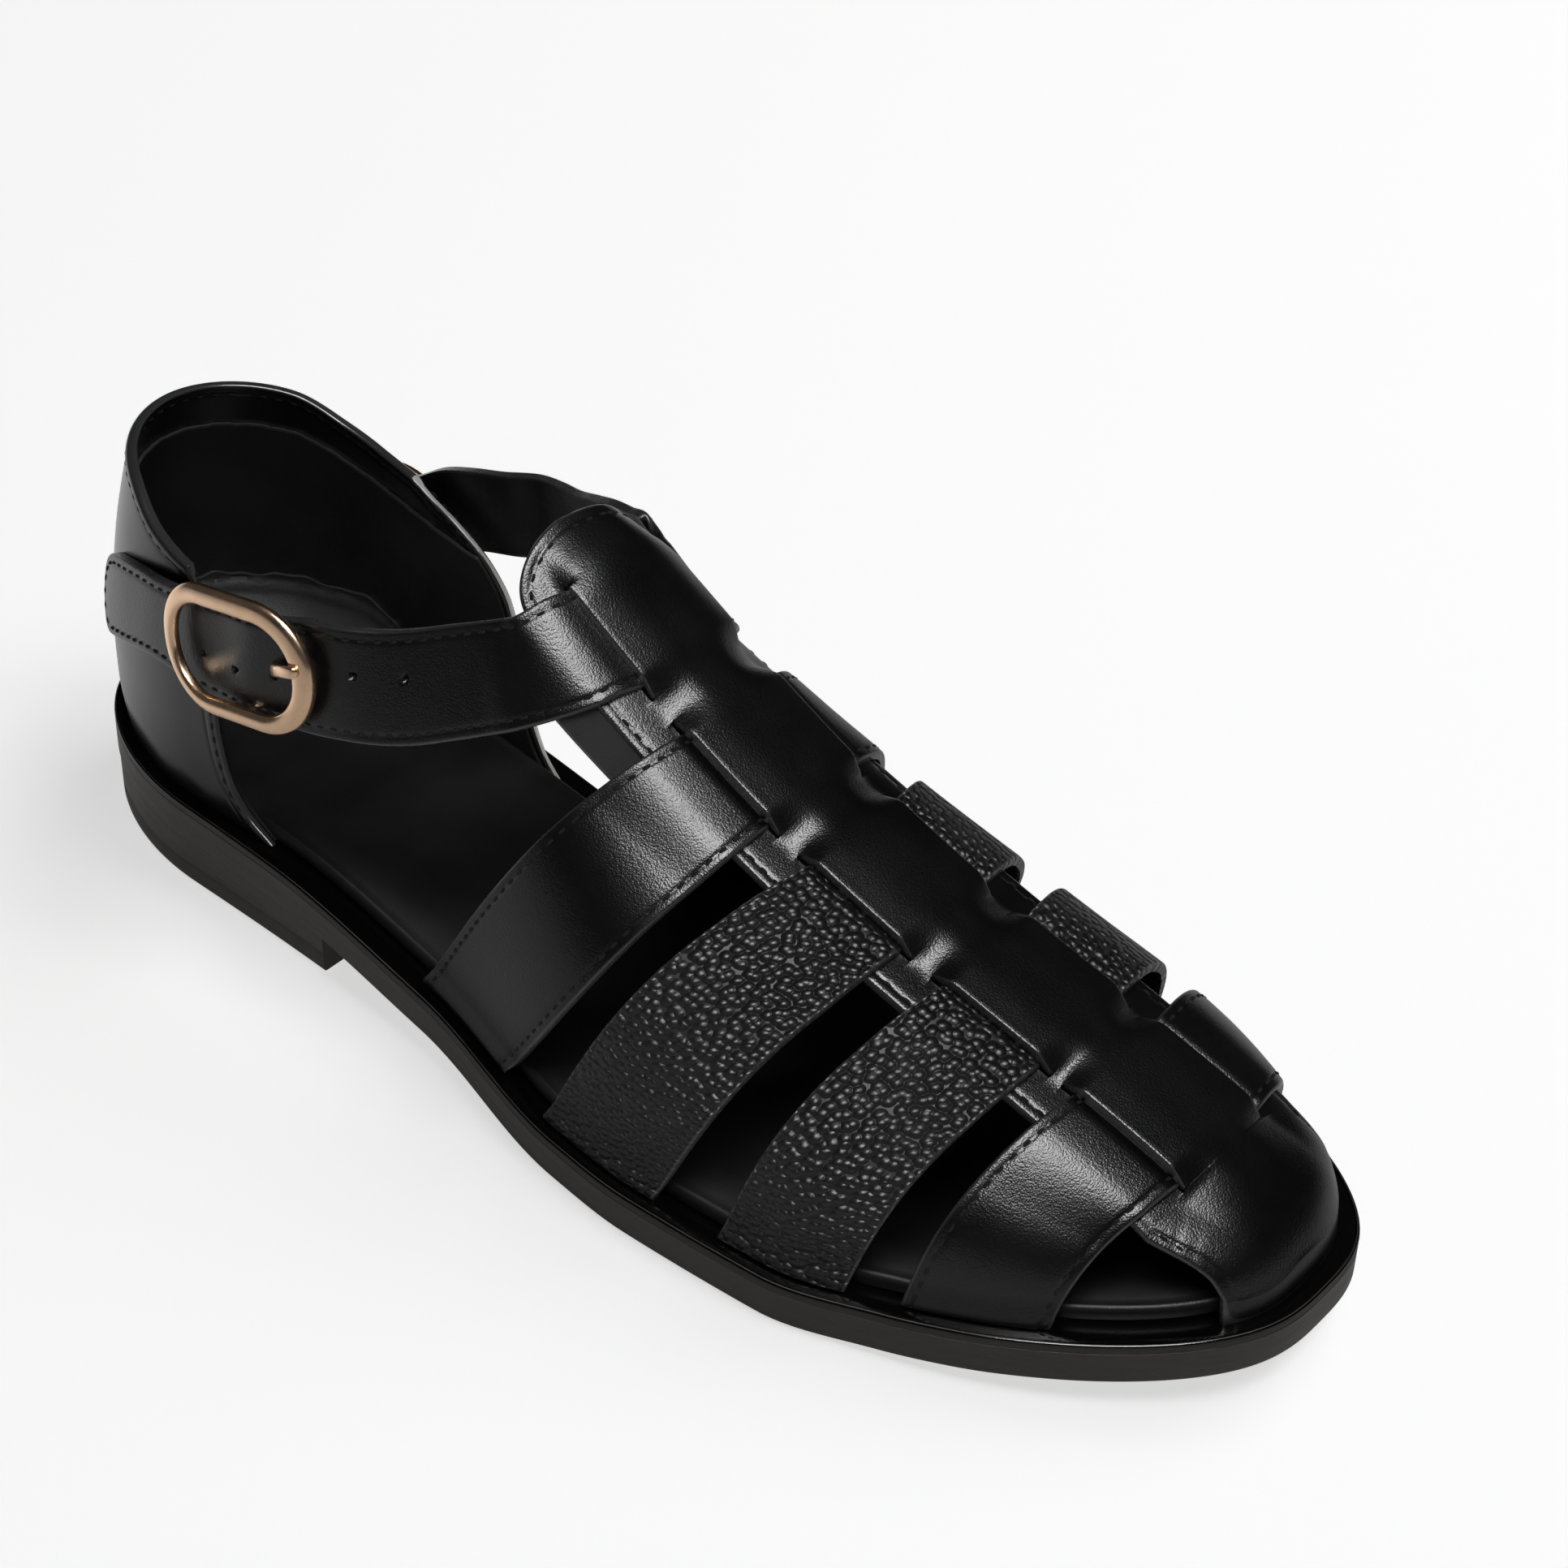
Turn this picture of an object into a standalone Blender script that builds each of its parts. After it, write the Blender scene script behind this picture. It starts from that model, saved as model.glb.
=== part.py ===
"""Closed toe fisherman sandal, right shoe, about EU size 42.

All sizes below are millimetres. While the shoe is drawn, x runs forward from the back of the
heel, y runs to the medial side (the wearer's left) and z runs up from the floor. The finished
objects are in metres, with the origin on the floor under the middle of the sole.
"""
import math

import bmesh
import bpy
import numpy as np

MILLIMETRE = 0.001

# Driving sizes
LENGTH = 285.0
SOLE_EDGE = 8.95          # outsole and welt together, seen from the side
WELT_EDGE = 1.85
WELT_BEVEL = 0.65
SOLE_BEVEL = 1.0
HEEL_INSET = 0.2          # heel block inside the outsole's edge
GAP = 0.3                 # between pieces that touch
HEEL_BREAST = 85.0        # front face of the heel block
HEEL_ROUND = 46.0         # where the round back of the outline begins
TOE_ROUND = 43.6          # length of the squared toe curve
TOE_POWER = 2.97          # 2 is a round toe, higher is squarer
TOE_SWING = 8.75          # how far the toe tip lies toward the medial side
SWING_START = 0.6         # share of the length where that swing begins
COUNTER_WALL = 2.0
STRAP_WALL = 1.8
INSOLE_TOP = 3.0          # above the welt
INSOLE_INSET = 2.4        # inside the line where the upper meets the welt
INSOLE_BEVEL = 0.7

LATERAL = -1
MEDIAL = 1


def table(names, *rows):
    """A table with named columns; the first column is the one read against."""
    return dict(zip(names.split(), np.array(rows, float).T))


SOLE = table(
    "x       lateral medial  rim   top",
    (0.0,    31.0,   31.0,   3.0,  19.5),
    (34.0,   32.2,   31.5,   3.2,  19.5),
    (71.0,   33.6,   30.5,   3.6,  18.4),
    (114.0,  37.0,   30.0,   3.6,  12.4),
    (157.0,  47.0,   39.5,   3.6,  9.1),
    (176.0,  48.8,   44.2,   3.6,  8.95),
    (206.0,  48.6,   47.6,   3.8,  8.95),
    (228.0,  44.0,   46.8,   4.2,  10.0),
    (256.0,  36.2,   40.8,   4.8,  12.9),
    (285.0,  28.6,   30.5,   5.0,  16.2),
)
# The last under the straps: its ridge, and how square each half of the section is.
LAST = table(
    "x       ridge_y ridge_z lateral_power medial_power",
    (96.0,   5.0,    117.0,  2.4,          2.6),
    (124.0,  5.0,    94.0,   2.4,          2.8),
    (148.0,  5.5,    76.5,   2.4,          3.0),
    (173.0,  6.0,    62.5,   2.4,          3.1),
    (203.0,  6.5,    50.5,   2.5,          3.3),
    (233.0,  7.5,    41.0,   2.5,          3.4),
    (261.0,  8.5,    31.5,   2.6,          3.4),
    (273.0,  8.7,    26.5,   2.8,          3.2),
    (279.0,  8.75,   20.0,   2.8,          3.0),
)
# How far the heel counter leans in at a height above the welt, at its back and its sides.
LEAN = table(
    "height  back    side",
    (0.0,    0.0,    0.0),
    (10.0,   -1.2,   -1.0),
    (20.0,   -1.2,   -1.2),
    (32.0,   0.4,    -0.6),
    (45.0,   3.0,    0.6),
    (60.0,   7.0,    2.4),
    (68.0,   9.5,    3.6),
)
TOPLINE = table(
    "x       height",
    (0.0,    85.0),
    (20.0,   82.5),
    (35.0,   77.5),
    (60.0,   71.5),
)
# Front edge of the heel counter on each side, by share of its height.
COUNTER_FRONT = table(
    "share   lateral medial",
    (0.0,    67.0,   92.0),
    (0.08,   60.5,   87.0),
    (0.20,   56.5,   83.5),
    (0.35,   54.8,   81.5),
    (0.50,   54.0,   80.5),
    (0.65,   53.0,   79.0),
    (0.78,   51.5,   75.0),
    (0.90,   49.5,   67.0),
    (1.0,    47.5,   55.0),
)
# Cross straps: where each passes the centre strip and where it meets the welt on either side.
STRAPS = table(
    "front   back    lateral_front lateral_back medial_front medial_back",
    (173.0,  149.0,  139.5,        112.0,       146.0,       119.0),
    (203.0,  178.0,  180.5,        152.0,       184.0,       157.0),
    (233.0,  208.0,  219.5,        195.0,       222.0,       197.0),
    (261.0,  236.0,  252.5,        229.0,       253.0,       231.0),
)
ANKLE_SLIT = (124.0, 144.0)
# Ankle bands, from the centre strip back round the heel. Behind OFF_COUNTER the band keeps its
# lift from the counter's outer face to its own middle, and y is given for the free part.
BAND = {
    LATERAL: table(
        "at      top_x   top_y   top_z  low_x   low_y   low_z  lift",
        (15.0,   15.0,   0.0,    61.5,  14.5,   0.0,    43.5,  1.5),
        (20.0,   20.2,   0.0,    64.0,  19.5,   0.0,    45.5,  1.5),
        (31.0,   31.5,   0.0,    69.3,  30.0,   0.0,    49.8,  1.6),
        (43.0,   44.5,   0.0,    72.6,  42.5,   0.0,    54.0,  2.8),
        (54.0,   55.5,   0.0,    75.0,  53.0,   0.0,    56.2,  4.2),
        (66.0,   67.5,   0.0,    77.1,  65.5,   0.0,    58.3,  4.3),
        (76.0,   76.8,   0.0,    78.6,  75.6,   0.0,    59.6,  4.3),
        (84.0,   84.5,   -30.0,  80.5,  85.0,   -33.2,  60.5,  4.3),
        (98.0,   97.5,   -25.0,  82.0,  101.0,  -30.6,  62.7,  4.3),
        (110.0,  109.0,  -20.0,  86.0,  116.0,  -26.8,  69.0,  4.3),
        (119.0,  118.5,  -16.6,  90.0,  129.0,  -23.6,  76.0,  4.3),
    ),
    MEDIAL: table(
        "at      top_x   top_y   top_z  low_x   low_y   low_z  lift",
        (15.0,   14.0,   0.0,    48.6,  16.4,   0.0,    32.0,  3.4),
        (20.0,   17.8,   0.0,    50.0,  22.0,   0.0,    33.4,  4.0),
        (35.0,   31.2,   0.0,    55.6,  38.4,   0.0,    39.2,  4.8),
        (50.0,   46.0,   0.0,    65.0,  54.0,   0.0,    48.8,  4.6),
        (64.0,   62.0,   0.0,    75.6,  66.0,   0.0,    57.6,  4.2),
        (84.0,   84.0,   30.0,   82.8,  85.0,   33.5,   63.0,  4.0),
        (98.0,   97.0,   27.0,   86.2,  101.0,  32.0,   67.5,  4.0),
        (110.0,  109.0,  23.8,   90.8,  116.0,  30.2,   71.5,  4.0),
        (119.0,  118.5,  21.4,   93.0,  129.0,  28.8,   73.0,  4.0),
    ),
}
BAND_WALL = 2.0
ON_COUNTER = 66.0         # the band follows the counter behind this x
OFF_COUNTER = 84.0        # and its own table ahead of this one
# Across the band: 0 is the top edge and 1 the low edge, with lines either side of the prong hole.
BAND_LINES = (0.0, 0.21, 0.42, 0.58, 0.79, 1.0)
HOLE_LINE = 2             # the hole lies between this line and the next
BAND_STATIONS = (119.0, 114.5, 110.0, 104.0, 98.0, 91.0, 84.0, 76.0, 68.0, 61.0, 54.0, 47.0,
                 41.0, 34.0, 27.0, 22.0, 19.0, 17.0, 15.6, 15.0)
HOLE_CLEAR = 2.0          # no other station this close to the hole
TIP_SHAPE = table(
    "at      share",
    (15.0,   0.30),
    (15.5,   0.60),
    (17.0,   0.86),
    (20.0,   1.0),
)

# Centre strip, measured round the section from the ridge of the last
STRIP_LINES = (-19.5, -15.0, -10.8, -10.3, -5.0, 0.0, 5.0, 10.3, 10.8, 15.0, 19.5)
MIDDLE_EDGE = 10.5
TAB_ROWS = table(
    "x       share",
    (113.4,  0.42),
    (114.4,  0.64),
    (116.4,  0.83),
    (119.6,  0.95),
    (123.5,  1.0),
)
TAB_RAISED = 2.9          # middle of the instep tab, ahead of which the bands pass under it
MARGIN_HEIGHT = 1.8       # strip alone
STRAP_OVER_MARGIN = 3.6   # cross strap lying on the margin of the strip
MIDDLE_RAISED = 4.9       # middle of the strip over a cross strap
MIDDLE_AT_EDGE = 4.4
MIDDLE_DIP = 3.9          # middle of the strip between two cross straps
STEP = 0.5                # length of a step between two heights
STRAP_SHARES = (0.0, 1 / 3, 2 / 3, 1.0)
SIDE_SHARES = (0.07, 0.2, 0.35, 0.5, 0.65, 0.78, 0.9, 1.0)
FOOT_RISE = 0.1           # the welt climbs a little outward, so the foot of a strap does too
STRAP_SWEEP = 1.25        # how late a cross strap swings back on its way to the welt
TOE_SHARES = (0.2, 0.42, 0.62, 0.78, 0.89, 0.96, 1.0)
TOE_SETTLE = 0.4          # share of the toe piece where its raised middle has sunk to the margins
TOE_LATERAL_CORNER = 274.5
TOE_MEDIAL_CORNER = 269.0

# Buckles
FRAME_LONG = 35.7         # between the middles of the short sides
FRAME_TALL = 24.4
FRAME_CORNER = 10.8
FRAME_FACE = 3.8
FRAME_DEPTH = 2.4
FRAME_OUT = 2.6           # middle of the frame outside the middle of the band
BAR_IN = 2.9
BAR_RADIUS = 1.1
BAR_AHEAD = 0.9           # bar ahead of the frame's middle
BAR_LEG = ((0.9, FRAME_OUT), (1.0, FRAME_OUT - 1.6), (1.4, 0.7 - BAR_IN), (2.2, -BAR_IN))
PRONG_RADIUS = 1.1
HOLE = (3.6, 7.6)         # the prong hole along the band, from the frame's middle
BUCKLE_AT = {LATERAL: 69.0, MEDIAL: 35.0}
TAB_ROWS_USED = (5, 6, 7)     # rows of the counter that run on into the buckle tab
TAB_HALF = 6.0
TAB_SLACK = 0.5           # between the end of the tab and the bar


def smooth(columns, name, at):
    """Monotone cubic curve through one column of a table, read against its first column."""
    knots = next(iter(columns.values()))
    values = columns[name]
    at = np.clip(np.asarray(at, float), knots[0], knots[-1])
    step = np.diff(knots)
    slope = np.diff(values) / step
    tangent = np.zeros_like(values)
    before, after = slope[:-1], slope[1:]
    same_way = before * after > 0
    early = 2 * step[1:] + step[:-1]
    late = step[1:] + 2 * step[:-1]
    safe_before = np.where(same_way, before, 1.0)
    safe_after = np.where(same_way, after, 1.0)
    mean = (early + late) / (early / safe_before + late / safe_after)
    tangent[1:-1] = np.where(same_way, mean, 0.0)
    tangent[0], tangent[-1] = slope[0], slope[-1]
    i = np.clip(np.searchsorted(knots, at, side="right") - 1, 0, len(knots) - 2)
    t = (at - knots[i]) / step[i]
    return ((1 + 2 * t) * (1 - t) ** 2 * values[i] + t * (1 - t) ** 2 * step[i] * tangent[i]
            + t * t * (3 - 2 * t) * values[i + 1] + t * t * (t - 1) * step[i] * tangent[i + 1])


def side_name(side):
    return "lateral" if side == LATERAL else "medial"


def swing(x):
    """Sideways shift of the sole's middle line toward the medial side at the toe."""
    return TOE_SWING * np.clip((x / LENGTH - SWING_START) / (1 - SWING_START), 0, 1) ** 2


def half_outline(x, side, heel_inset, side_inset, toe_inset):
    """y of the sole's outline on one side, moved inward by the given insets."""
    back = np.clip((HEEL_ROUND - x) / (HEEL_ROUND - heel_inset), 0, 1)
    front = np.clip((x - LENGTH + TOE_ROUND) / (TOE_ROUND - toe_inset), 0, 1)
    closing = np.sqrt(1 - back ** 2) * (1 - front ** 2) ** (1 / TOE_POWER)
    return swing(x) + side * (smooth(SOLE, side_name(side), x) - side_inset) * closing


def rim_outline(x, side, extra=0.0):
    """y of the line where the upper's outer face meets the welt, moved inward by extra."""
    rim = smooth(SOLE, "rim", x)
    return half_outline(x, side, SOLE["rim"][0] + extra, rim + extra, SOLE["rim"][-1] + extra)


def sole_top(x):
    return smooth(SOLE, "top", x)


# The last under the straps

def last_point(x, y):
    """A point of the last above plan position x, y, and the outward normal there."""
    def relief(px, py):
        ridge = smooth(LAST, "ridge_y", px)
        side = np.where(py < ridge, LATERAL, MEDIAL)
        edge = np.where(side == LATERAL, rim_outline(px, LATERAL, STRAP_WALL),
                        rim_outline(px, MEDIAL, STRAP_WALL))
        power = np.where(side == LATERAL, smooth(LAST, "lateral_power", px),
                         smooth(LAST, "medial_power", px))
        base = sole_top(px)
        return ridge, edge, power, base, smooth(LAST, "ridge_z", px) - base

    def level(px, py, pz):
        ridge, edge, power, base, rise = relief(px, py)
        across = np.abs((py - ridge) / (edge - ridge))
        return across ** power + (np.maximum(pz - base, 0) / rise) ** power

    ridge, edge, power, base, rise = relief(x, y)
    across = np.clip(np.abs((y - ridge) / (edge - ridge)), 0, 1)
    z = base + rise * (1 - across ** power) ** (1 / power)
    d = 0.05
    normal = np.stack([level(x + d, y, z) - level(x - d, y, z),
                       level(x, y + d, z) - level(x, y - d, z),
                       level(x, y, z + d) - level(x, y, z - d)], -1)
    normal = normal / np.linalg.norm(normal, axis=-1, keepdims=True)
    return np.stack([x, y, z], -1), normal


def section(x, side):
    """y positions round one half of the last's section, with the distance run from the ridge."""
    ridge = float(smooth(LAST, "ridge_y", x))
    edge = float(rim_outline(x, side, STRAP_WALL))
    power = float(smooth(LAST, side_name(side) + "_power", x))
    turn = np.linspace(0, math.pi / 2, 160)
    y = ridge + (edge - ridge) * np.sin(turn) ** (2 / power)
    z = (float(smooth(LAST, "ridge_z", x)) - float(sole_top(x))) * np.cos(turn) ** (2 / power)
    run = np.concatenate([[0], np.cumsum(np.hypot(np.diff(y), np.diff(z)))])
    return y, run


def across_ridge(x, distance):
    """Plan point at a distance round the section from the ridge, lateral negative."""
    side = LATERAL if distance < 0 else MEDIAL
    y, run = section(x, side)
    return float(np.interp(abs(distance), run, y))


def down_side(x, side, share):
    """Plan point a share of the way from the strip's edge down to the welt."""
    y, run = section(x, side)
    start = STRIP_LINES[-1]
    return float(np.interp(start + (run[-1] - start) * share, run, y))


# The heel counter and what lies outside it

def counter_plan(turn, x, side, height, extra):
    """Plan point of the counter: by angle round the heel, or by x on its straight sides."""
    back = SOLE["rim"][0] + smooth(LEAN, "back", height) + extra
    if turn is not None:
        x = HEEL_ROUND - (HEEL_ROUND - back) * math.cos(turn)
    inset = smooth(SOLE, "rim", x) + smooth(LEAN, "side", height) + extra
    return float(x), float(half_outline(x, side, back, inset, 0.0))


def outside_counter(x, z, side, extra):
    """y of a surface parallel to the counter's outer face, at a given x and z."""
    height = z - sole_top(x)
    back = SOLE["rim"][0] + smooth(LEAN, "back", height) - extra
    inset = smooth(SOLE, "rim", x) + smooth(LEAN, "side", height) - extra
    return half_outline(x, side, back, inset, 0.0)


# The ankle bands

def leaving_counter(at):
    """0 where the band follows the counter and 1 where it runs free."""
    share = np.clip((at - ON_COUNTER) / (OFF_COUNTER - ON_COUNTER), 0, 1)
    return share * share * (3 - 2 * share)


def band_edges(side, at):
    """Top and low edge points of the middle surface of an ankle band."""
    rows = BAND[side]
    ends = []
    for edge in ("top", "low"):
        x = smooth(rows, edge + "_x", at)
        z = smooth(rows, edge + "_z", at)
        y = smooth(rows, edge + "_y", np.maximum(at, OFF_COUNTER))
        follow = outside_counter(x, z, side, smooth(rows, "lift", at))
        ends.append(np.array([x, follow + (y - follow) * leaving_counter(at), z], float))
    return ends


def band_point(side, at, share):
    """Point of the band's middle surface; share is 0 on its top edge and 1 on its low edge."""
    top, low = band_edges(side, at)
    share = 0.5 + (share - 0.5) * float(smooth(TIP_SHAPE, "share", at))
    point = top + (low - top) * share
    follow = outside_counter(point[0], point[2], side, smooth(BAND[side], "lift", at))
    point[1] = follow + (point[1] - follow) * leaving_counter(at)
    return point


def buckle_axes(side):
    """Middle of a buckle on its band, and unit vectors forward, up and outward."""
    at = BUCKLE_AT[side]
    half = FRAME_LONG / 2
    middle = band_point(side, at, 0.5)
    forward = band_point(side, at + half, 0.5) - band_point(side, at - half, 0.5)
    forward = forward / np.linalg.norm(forward)
    up = band_point(side, at, 0.0) - band_point(side, at, 1.0)
    up = up - forward * np.dot(up, forward)
    up = up / np.linalg.norm(up)
    outward = np.cross(forward, up)
    if outward[1] * side < 0:
        outward = -outward
    return middle, forward, up, outward


# Mesh helpers

def to_object(name, points, faces, material):
    """Make one object from shoe millimetres, with its faces turned outward."""
    mesh = bpy.data.meshes.new(name)
    placed = (np.asarray(points, float) - shoe_origin()) * MILLIMETRE
    mesh.from_pydata([tuple(p) for p in placed], [], [tuple(f) for f in faces])
    shell = bmesh.new()
    shell.from_mesh(mesh)
    bmesh.ops.recalc_face_normals(shell, faces=shell.faces)
    if shell.calc_volume(signed=True) < 0:
        bmesh.ops.reverse_faces(shell, faces=shell.faces)
    bmesh.ops.triangulate(shell, faces=shell.faces)
    shell.to_mesh(mesh)
    shell.free()
    mesh.materials.append(material)
    mesh.shade_smooth()
    mesh.set_sharp_from_angle(angle=math.radians(35))
    item = bpy.data.objects.new(name, mesh)
    bpy.context.scene.collection.objects.link(item)
    return item


def shoe_origin():
    """The point that becomes the origin: on the floor under the middle of the outsole's box."""
    x = np.linspace(0, LENGTH, 571)
    low = half_outline(x, LATERAL, 0, 0, 0).min()
    high = half_outline(x, MEDIAL, 0, 0, 0).max()
    return np.array([LENGTH / 2, (low + high) / 2, 0.0])


def finish(name, colour, roughness, metallic=0.0):
    """A plain Principled material."""
    material = bpy.data.materials.new(name)
    material.use_nodes = True
    shader = material.node_tree.nodes["Principled BSDF"]
    shader.inputs["Base Color"].default_value = (*colour, 1.0)
    shader.inputs["Roughness"].default_value = roughness
    shader.inputs["Metallic"].default_value = metallic
    return material


class Wall:
    """A sheet of four-sided cells with an inner and an outer point at every corner."""

    def __init__(self):
        self.order = {}
        self.inner = []
        self.outer = []
        self.cells = []

    def corner(self, key, inner, outer):
        if key not in self.order:
            self.order[key] = len(self.inner)
            self.inner.append(np.asarray(inner, float))
            self.outer.append(np.asarray(outer, float))

    def cell(self, *keys):
        self.cells.append([self.order[key] for key in keys])

    def build(self, name, material):
        """Join both faces with a side wall along every open edge."""
        count = len(self.inner)
        faces = []
        edges = {}
        for cell in self.cells:
            faces.append([i + count for i in cell])
            faces.append(cell[::-1])
            for a, b in zip(cell, cell[1:] + cell[:1]):
                edges[frozenset((a, b))] = edges.get(frozenset((a, b)), 0) + 1
        for cell in self.cells:
            for a, b in zip(cell, cell[1:] + cell[:1]):
                if edges[frozenset((a, b))] == 1:
                    faces.append([a, b, b + count, a + count])
        return to_object(name, self.inner + self.outer, faces, material)


def ring_faces(first, second, count):
    """Quads between two closed loops of points that start at the given indices."""
    return [[first + i, first + (i + 1) % count, second + (i + 1) % count, second + i]
            for i in range(count)]


# Sole pieces

def plan_loop(stations, heel_inset, side_inset, toe_inset, end):
    """Outline points: heel, lateral side forward, the front end, medial side back."""
    x = heel_inset + stations * (end - toe_inset - heel_inset)
    inset = side_inset(x) if callable(side_inset) else side_inset
    toe = toe_inset if end == LENGTH else 0.0
    lateral = half_outline(x, LATERAL, heel_inset, inset, toe)
    medial = half_outline(x, MEDIAL, heel_inset, inset, toe)
    return x, lateral, medial


def sole_piece(name, material, stations, levels, end=LENGTH):
    """A closed slab from levels of (heel, side and toe inset, height function), low to high."""
    points = []
    faces = []
    pointed = end == LENGTH
    n = len(stations)
    size = 2 * n - (2 if pointed else 1)
    for heel_inset, side_inset, toe_inset, height in levels:
        x, lateral, medial = plan_loop(stations, heel_inset, side_inset, toe_inset, end)
        z = height(x)
        back = list(range(n - 2 if pointed else n - 1, 0, -1))
        points += [(x[i], lateral[i], z[i]) for i in range(n)]
        points += [(x[i], medial[i], z[i]) for i in back]
    for level in range(len(levels) - 1):
        faces += ring_faces(level * size, (level + 1) * size, size)
    for start in (0, (len(levels) - 1) * size):
        faces.append([start, start + 1, start + size - 1])
        last_pair = n - 2 if pointed else n - 1
        for i in range(1, last_pair):
            faces.append([start + i, start + i + 1, start + size - i - 1, start + size - i])
        if pointed:
            faces.append([start + n - 2, start + n - 1, start + n])
    return to_object(name, points, faces, material)


def spread(count):
    """Shares from 0 to 1, closer together at both ends."""
    return (1 - np.cos(np.linspace(0, math.pi, count))) / 2


def even(inset, height):
    """A level of a sole piece with the same inset all round."""
    return inset, inset, inset, height


def make_outsole(material):
    bottom = lambda x: sole_top(x) - SOLE_EDGE
    levels = [even(SOLE_BEVEL, bottom),
              even(0.0, lambda x: bottom(x) + SOLE_BEVEL),
              even(0.0, lambda x: sole_top(x) - WELT_EDGE - GAP)]
    return sole_piece("outsole", material, spread(45), levels)


def make_welt(material):
    levels = [even(0.0, lambda x: sole_top(x) - WELT_EDGE),
              even(0.0, lambda x: sole_top(x) - WELT_BEVEL),
              even(WELT_BEVEL, sole_top)]
    return sole_piece("welt", material, spread(45), levels)


def make_heel_block(material):
    stations = 1 - np.cos(np.linspace(0, math.pi / 2, 17))
    levels = [(HEEL_INSET + SOLE_BEVEL, HEEL_INSET + SOLE_BEVEL, 0.0, lambda x: 0 * x),
              (HEEL_INSET, HEEL_INSET, 0.0, lambda x: 0 * x + SOLE_BEVEL),
              (HEEL_INSET, HEEL_INSET, 0.0, lambda x: sole_top(x) - SOLE_EDGE - GAP)]
    return sole_piece("heel_block", material, stations, levels, HEEL_BREAST)


def make_insole(material):
    def level(extra, height):
        inset = INSOLE_INSET + extra
        return (SOLE["rim"][0] + inset, lambda x: smooth(SOLE, "rim", x) + inset,
                SOLE["rim"][-1] + inset, height)

    levels = [level(0.0, lambda x: sole_top(x) + GAP),
              level(0.0, lambda x: sole_top(x) + INSOLE_TOP - INSOLE_BEVEL),
              level(INSOLE_BEVEL, lambda x: sole_top(x) + INSOLE_TOP)]
    return sole_piece("insole", material, spread(41), levels)


# Upper: centre strip, cross straps, toe piece and ankle bands in one wall

def strip_rows():
    """Rows of the centre strip: key, x, width share, margin and middle height."""
    rows = []
    for i, (x, share) in enumerate(zip(TAB_ROWS["x"], TAB_ROWS["share"])):
        rows.append((("tab", i), x, share, MARGIN_HEIGHT, TAB_RAISED))
    ankle = [ANKLE_SLIT[0] + s * (ANKLE_SLIT[1] - ANKLE_SLIT[0]) for s in BAND_LINES]
    crossings = [("ankle", ankle)]
    for k, (back, front) in enumerate(zip(STRAPS["back"], STRAPS["front"])):
        crossings.append((f"strap{k + 2}", [back + s * (front - back) for s in STRAP_SHARES]))
    for name, stations in crossings:
        if name != "ankle":
            rows.append(((name, "behind"), stations[0] - STEP, 1.0, MARGIN_HEIGHT, MIDDLE_DIP))
        for j, x in enumerate(stations):
            raised = MIDDLE_AT_EDGE if j in (0, len(stations) - 1) else MIDDLE_RAISED
            rows.append(((name, j), x, 1.0, STRAP_OVER_MARGIN, raised))
        rows.append(((name, "ahead"), stations[-1] + STEP, 1.0, MARGIN_HEIGHT, MIDDLE_DIP))
    return rows


def add_strip(wall):
    """The centre strip over the last, from the instep tab to its last crossing."""
    rows = strip_rows()
    for key, x, share, margin, middle in rows:
        for j, line in enumerate(STRIP_LINES):
            point, normal = last_point(x, across_ridge(x, line * share))
            height = middle if abs(line) < MIDDLE_EDGE else margin
            wall.corner((key, j), point, point + normal * height)
    for (back, *_), (front, *_) in zip(rows, rows[1:]):
        for j in range(len(STRIP_LINES) - 1):
            wall.cell((back, j), (front, j), (front, j + 1), (back, j + 1))
    return rows[-1]


def add_toe_piece(wall, last_row):
    """The strip runs on over the toe and fans out to the rim."""
    previous, x_start = last_row[0], last_row[1]
    tip = LENGTH - SOLE["rim"][-1] - STRAP_WALL
    arc = []
    for corner, side in ((TOE_LATERAL_CORNER, LATERAL), (TOE_MEDIAL_CORNER, MEDIAL)):
        run = tip - (tip - corner) * np.sin(np.linspace(math.pi / 2, 0, 60)) ** 2
        y = rim_outline(run, side, STRAP_WALL)
        arc.append(np.stack([run, y], -1))
    rim = np.concatenate([arc[0], arc[1][::-1][1:]])
    distance = np.concatenate([[0], np.cumsum(np.hypot(*np.diff(rim, axis=0).T))])
    goal = distance[-1] * (np.array(STRIP_LINES) / STRIP_LINES[-1] + 1) / 2
    ends = np.stack([np.interp(goal, distance, rim[:, 0]), np.interp(goal, distance, rim[:, 1])], -1)
    for i, share in enumerate(TOE_SHARES):
        key = ("toe", i)
        for j, line in enumerate(STRIP_LINES):
            start = np.array([x_start, across_ridge(x_start, line)])
            place = start + (ends[j] - start) * share
            point, normal = last_point(place[0], place[1])
            raised = (MIDDLE_DIP - MARGIN_HEIGHT) * max(0.0, 1 - share / TOE_SETTLE)
            height = MARGIN_HEIGHT + (raised if abs(line) < MIDDLE_EDGE else 0.0)
            wall.corner((key, j), *clear_of_welt(point, normal, height, share))
        for j in range(len(STRIP_LINES) - 1):
            wall.cell((previous, j), (key, j), (key, j + 1), (previous, j + 1))
        previous = key


def clear_of_welt(point, normal, height, share):
    """Inner and outer points; those at the rim stand square on the welt with the usual gap."""
    if share < 1.0:
        return point, point + normal * height
    level = np.array([normal[0], normal[1], 0.0])
    base = point + np.array([0.0, 0.0, GAP])
    outer = base + level / np.linalg.norm(level) * height
    outer[2] += FOOT_RISE
    return base, outer


def strap_side_point(x_strip, x_sole, side, share):
    """Point of the last under a cross strap, a share of the way down its side."""
    x = x_strip + (x_sole - x_strip) * share ** STRAP_SWEEP
    return last_point(x, down_side(x, side, share))


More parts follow.
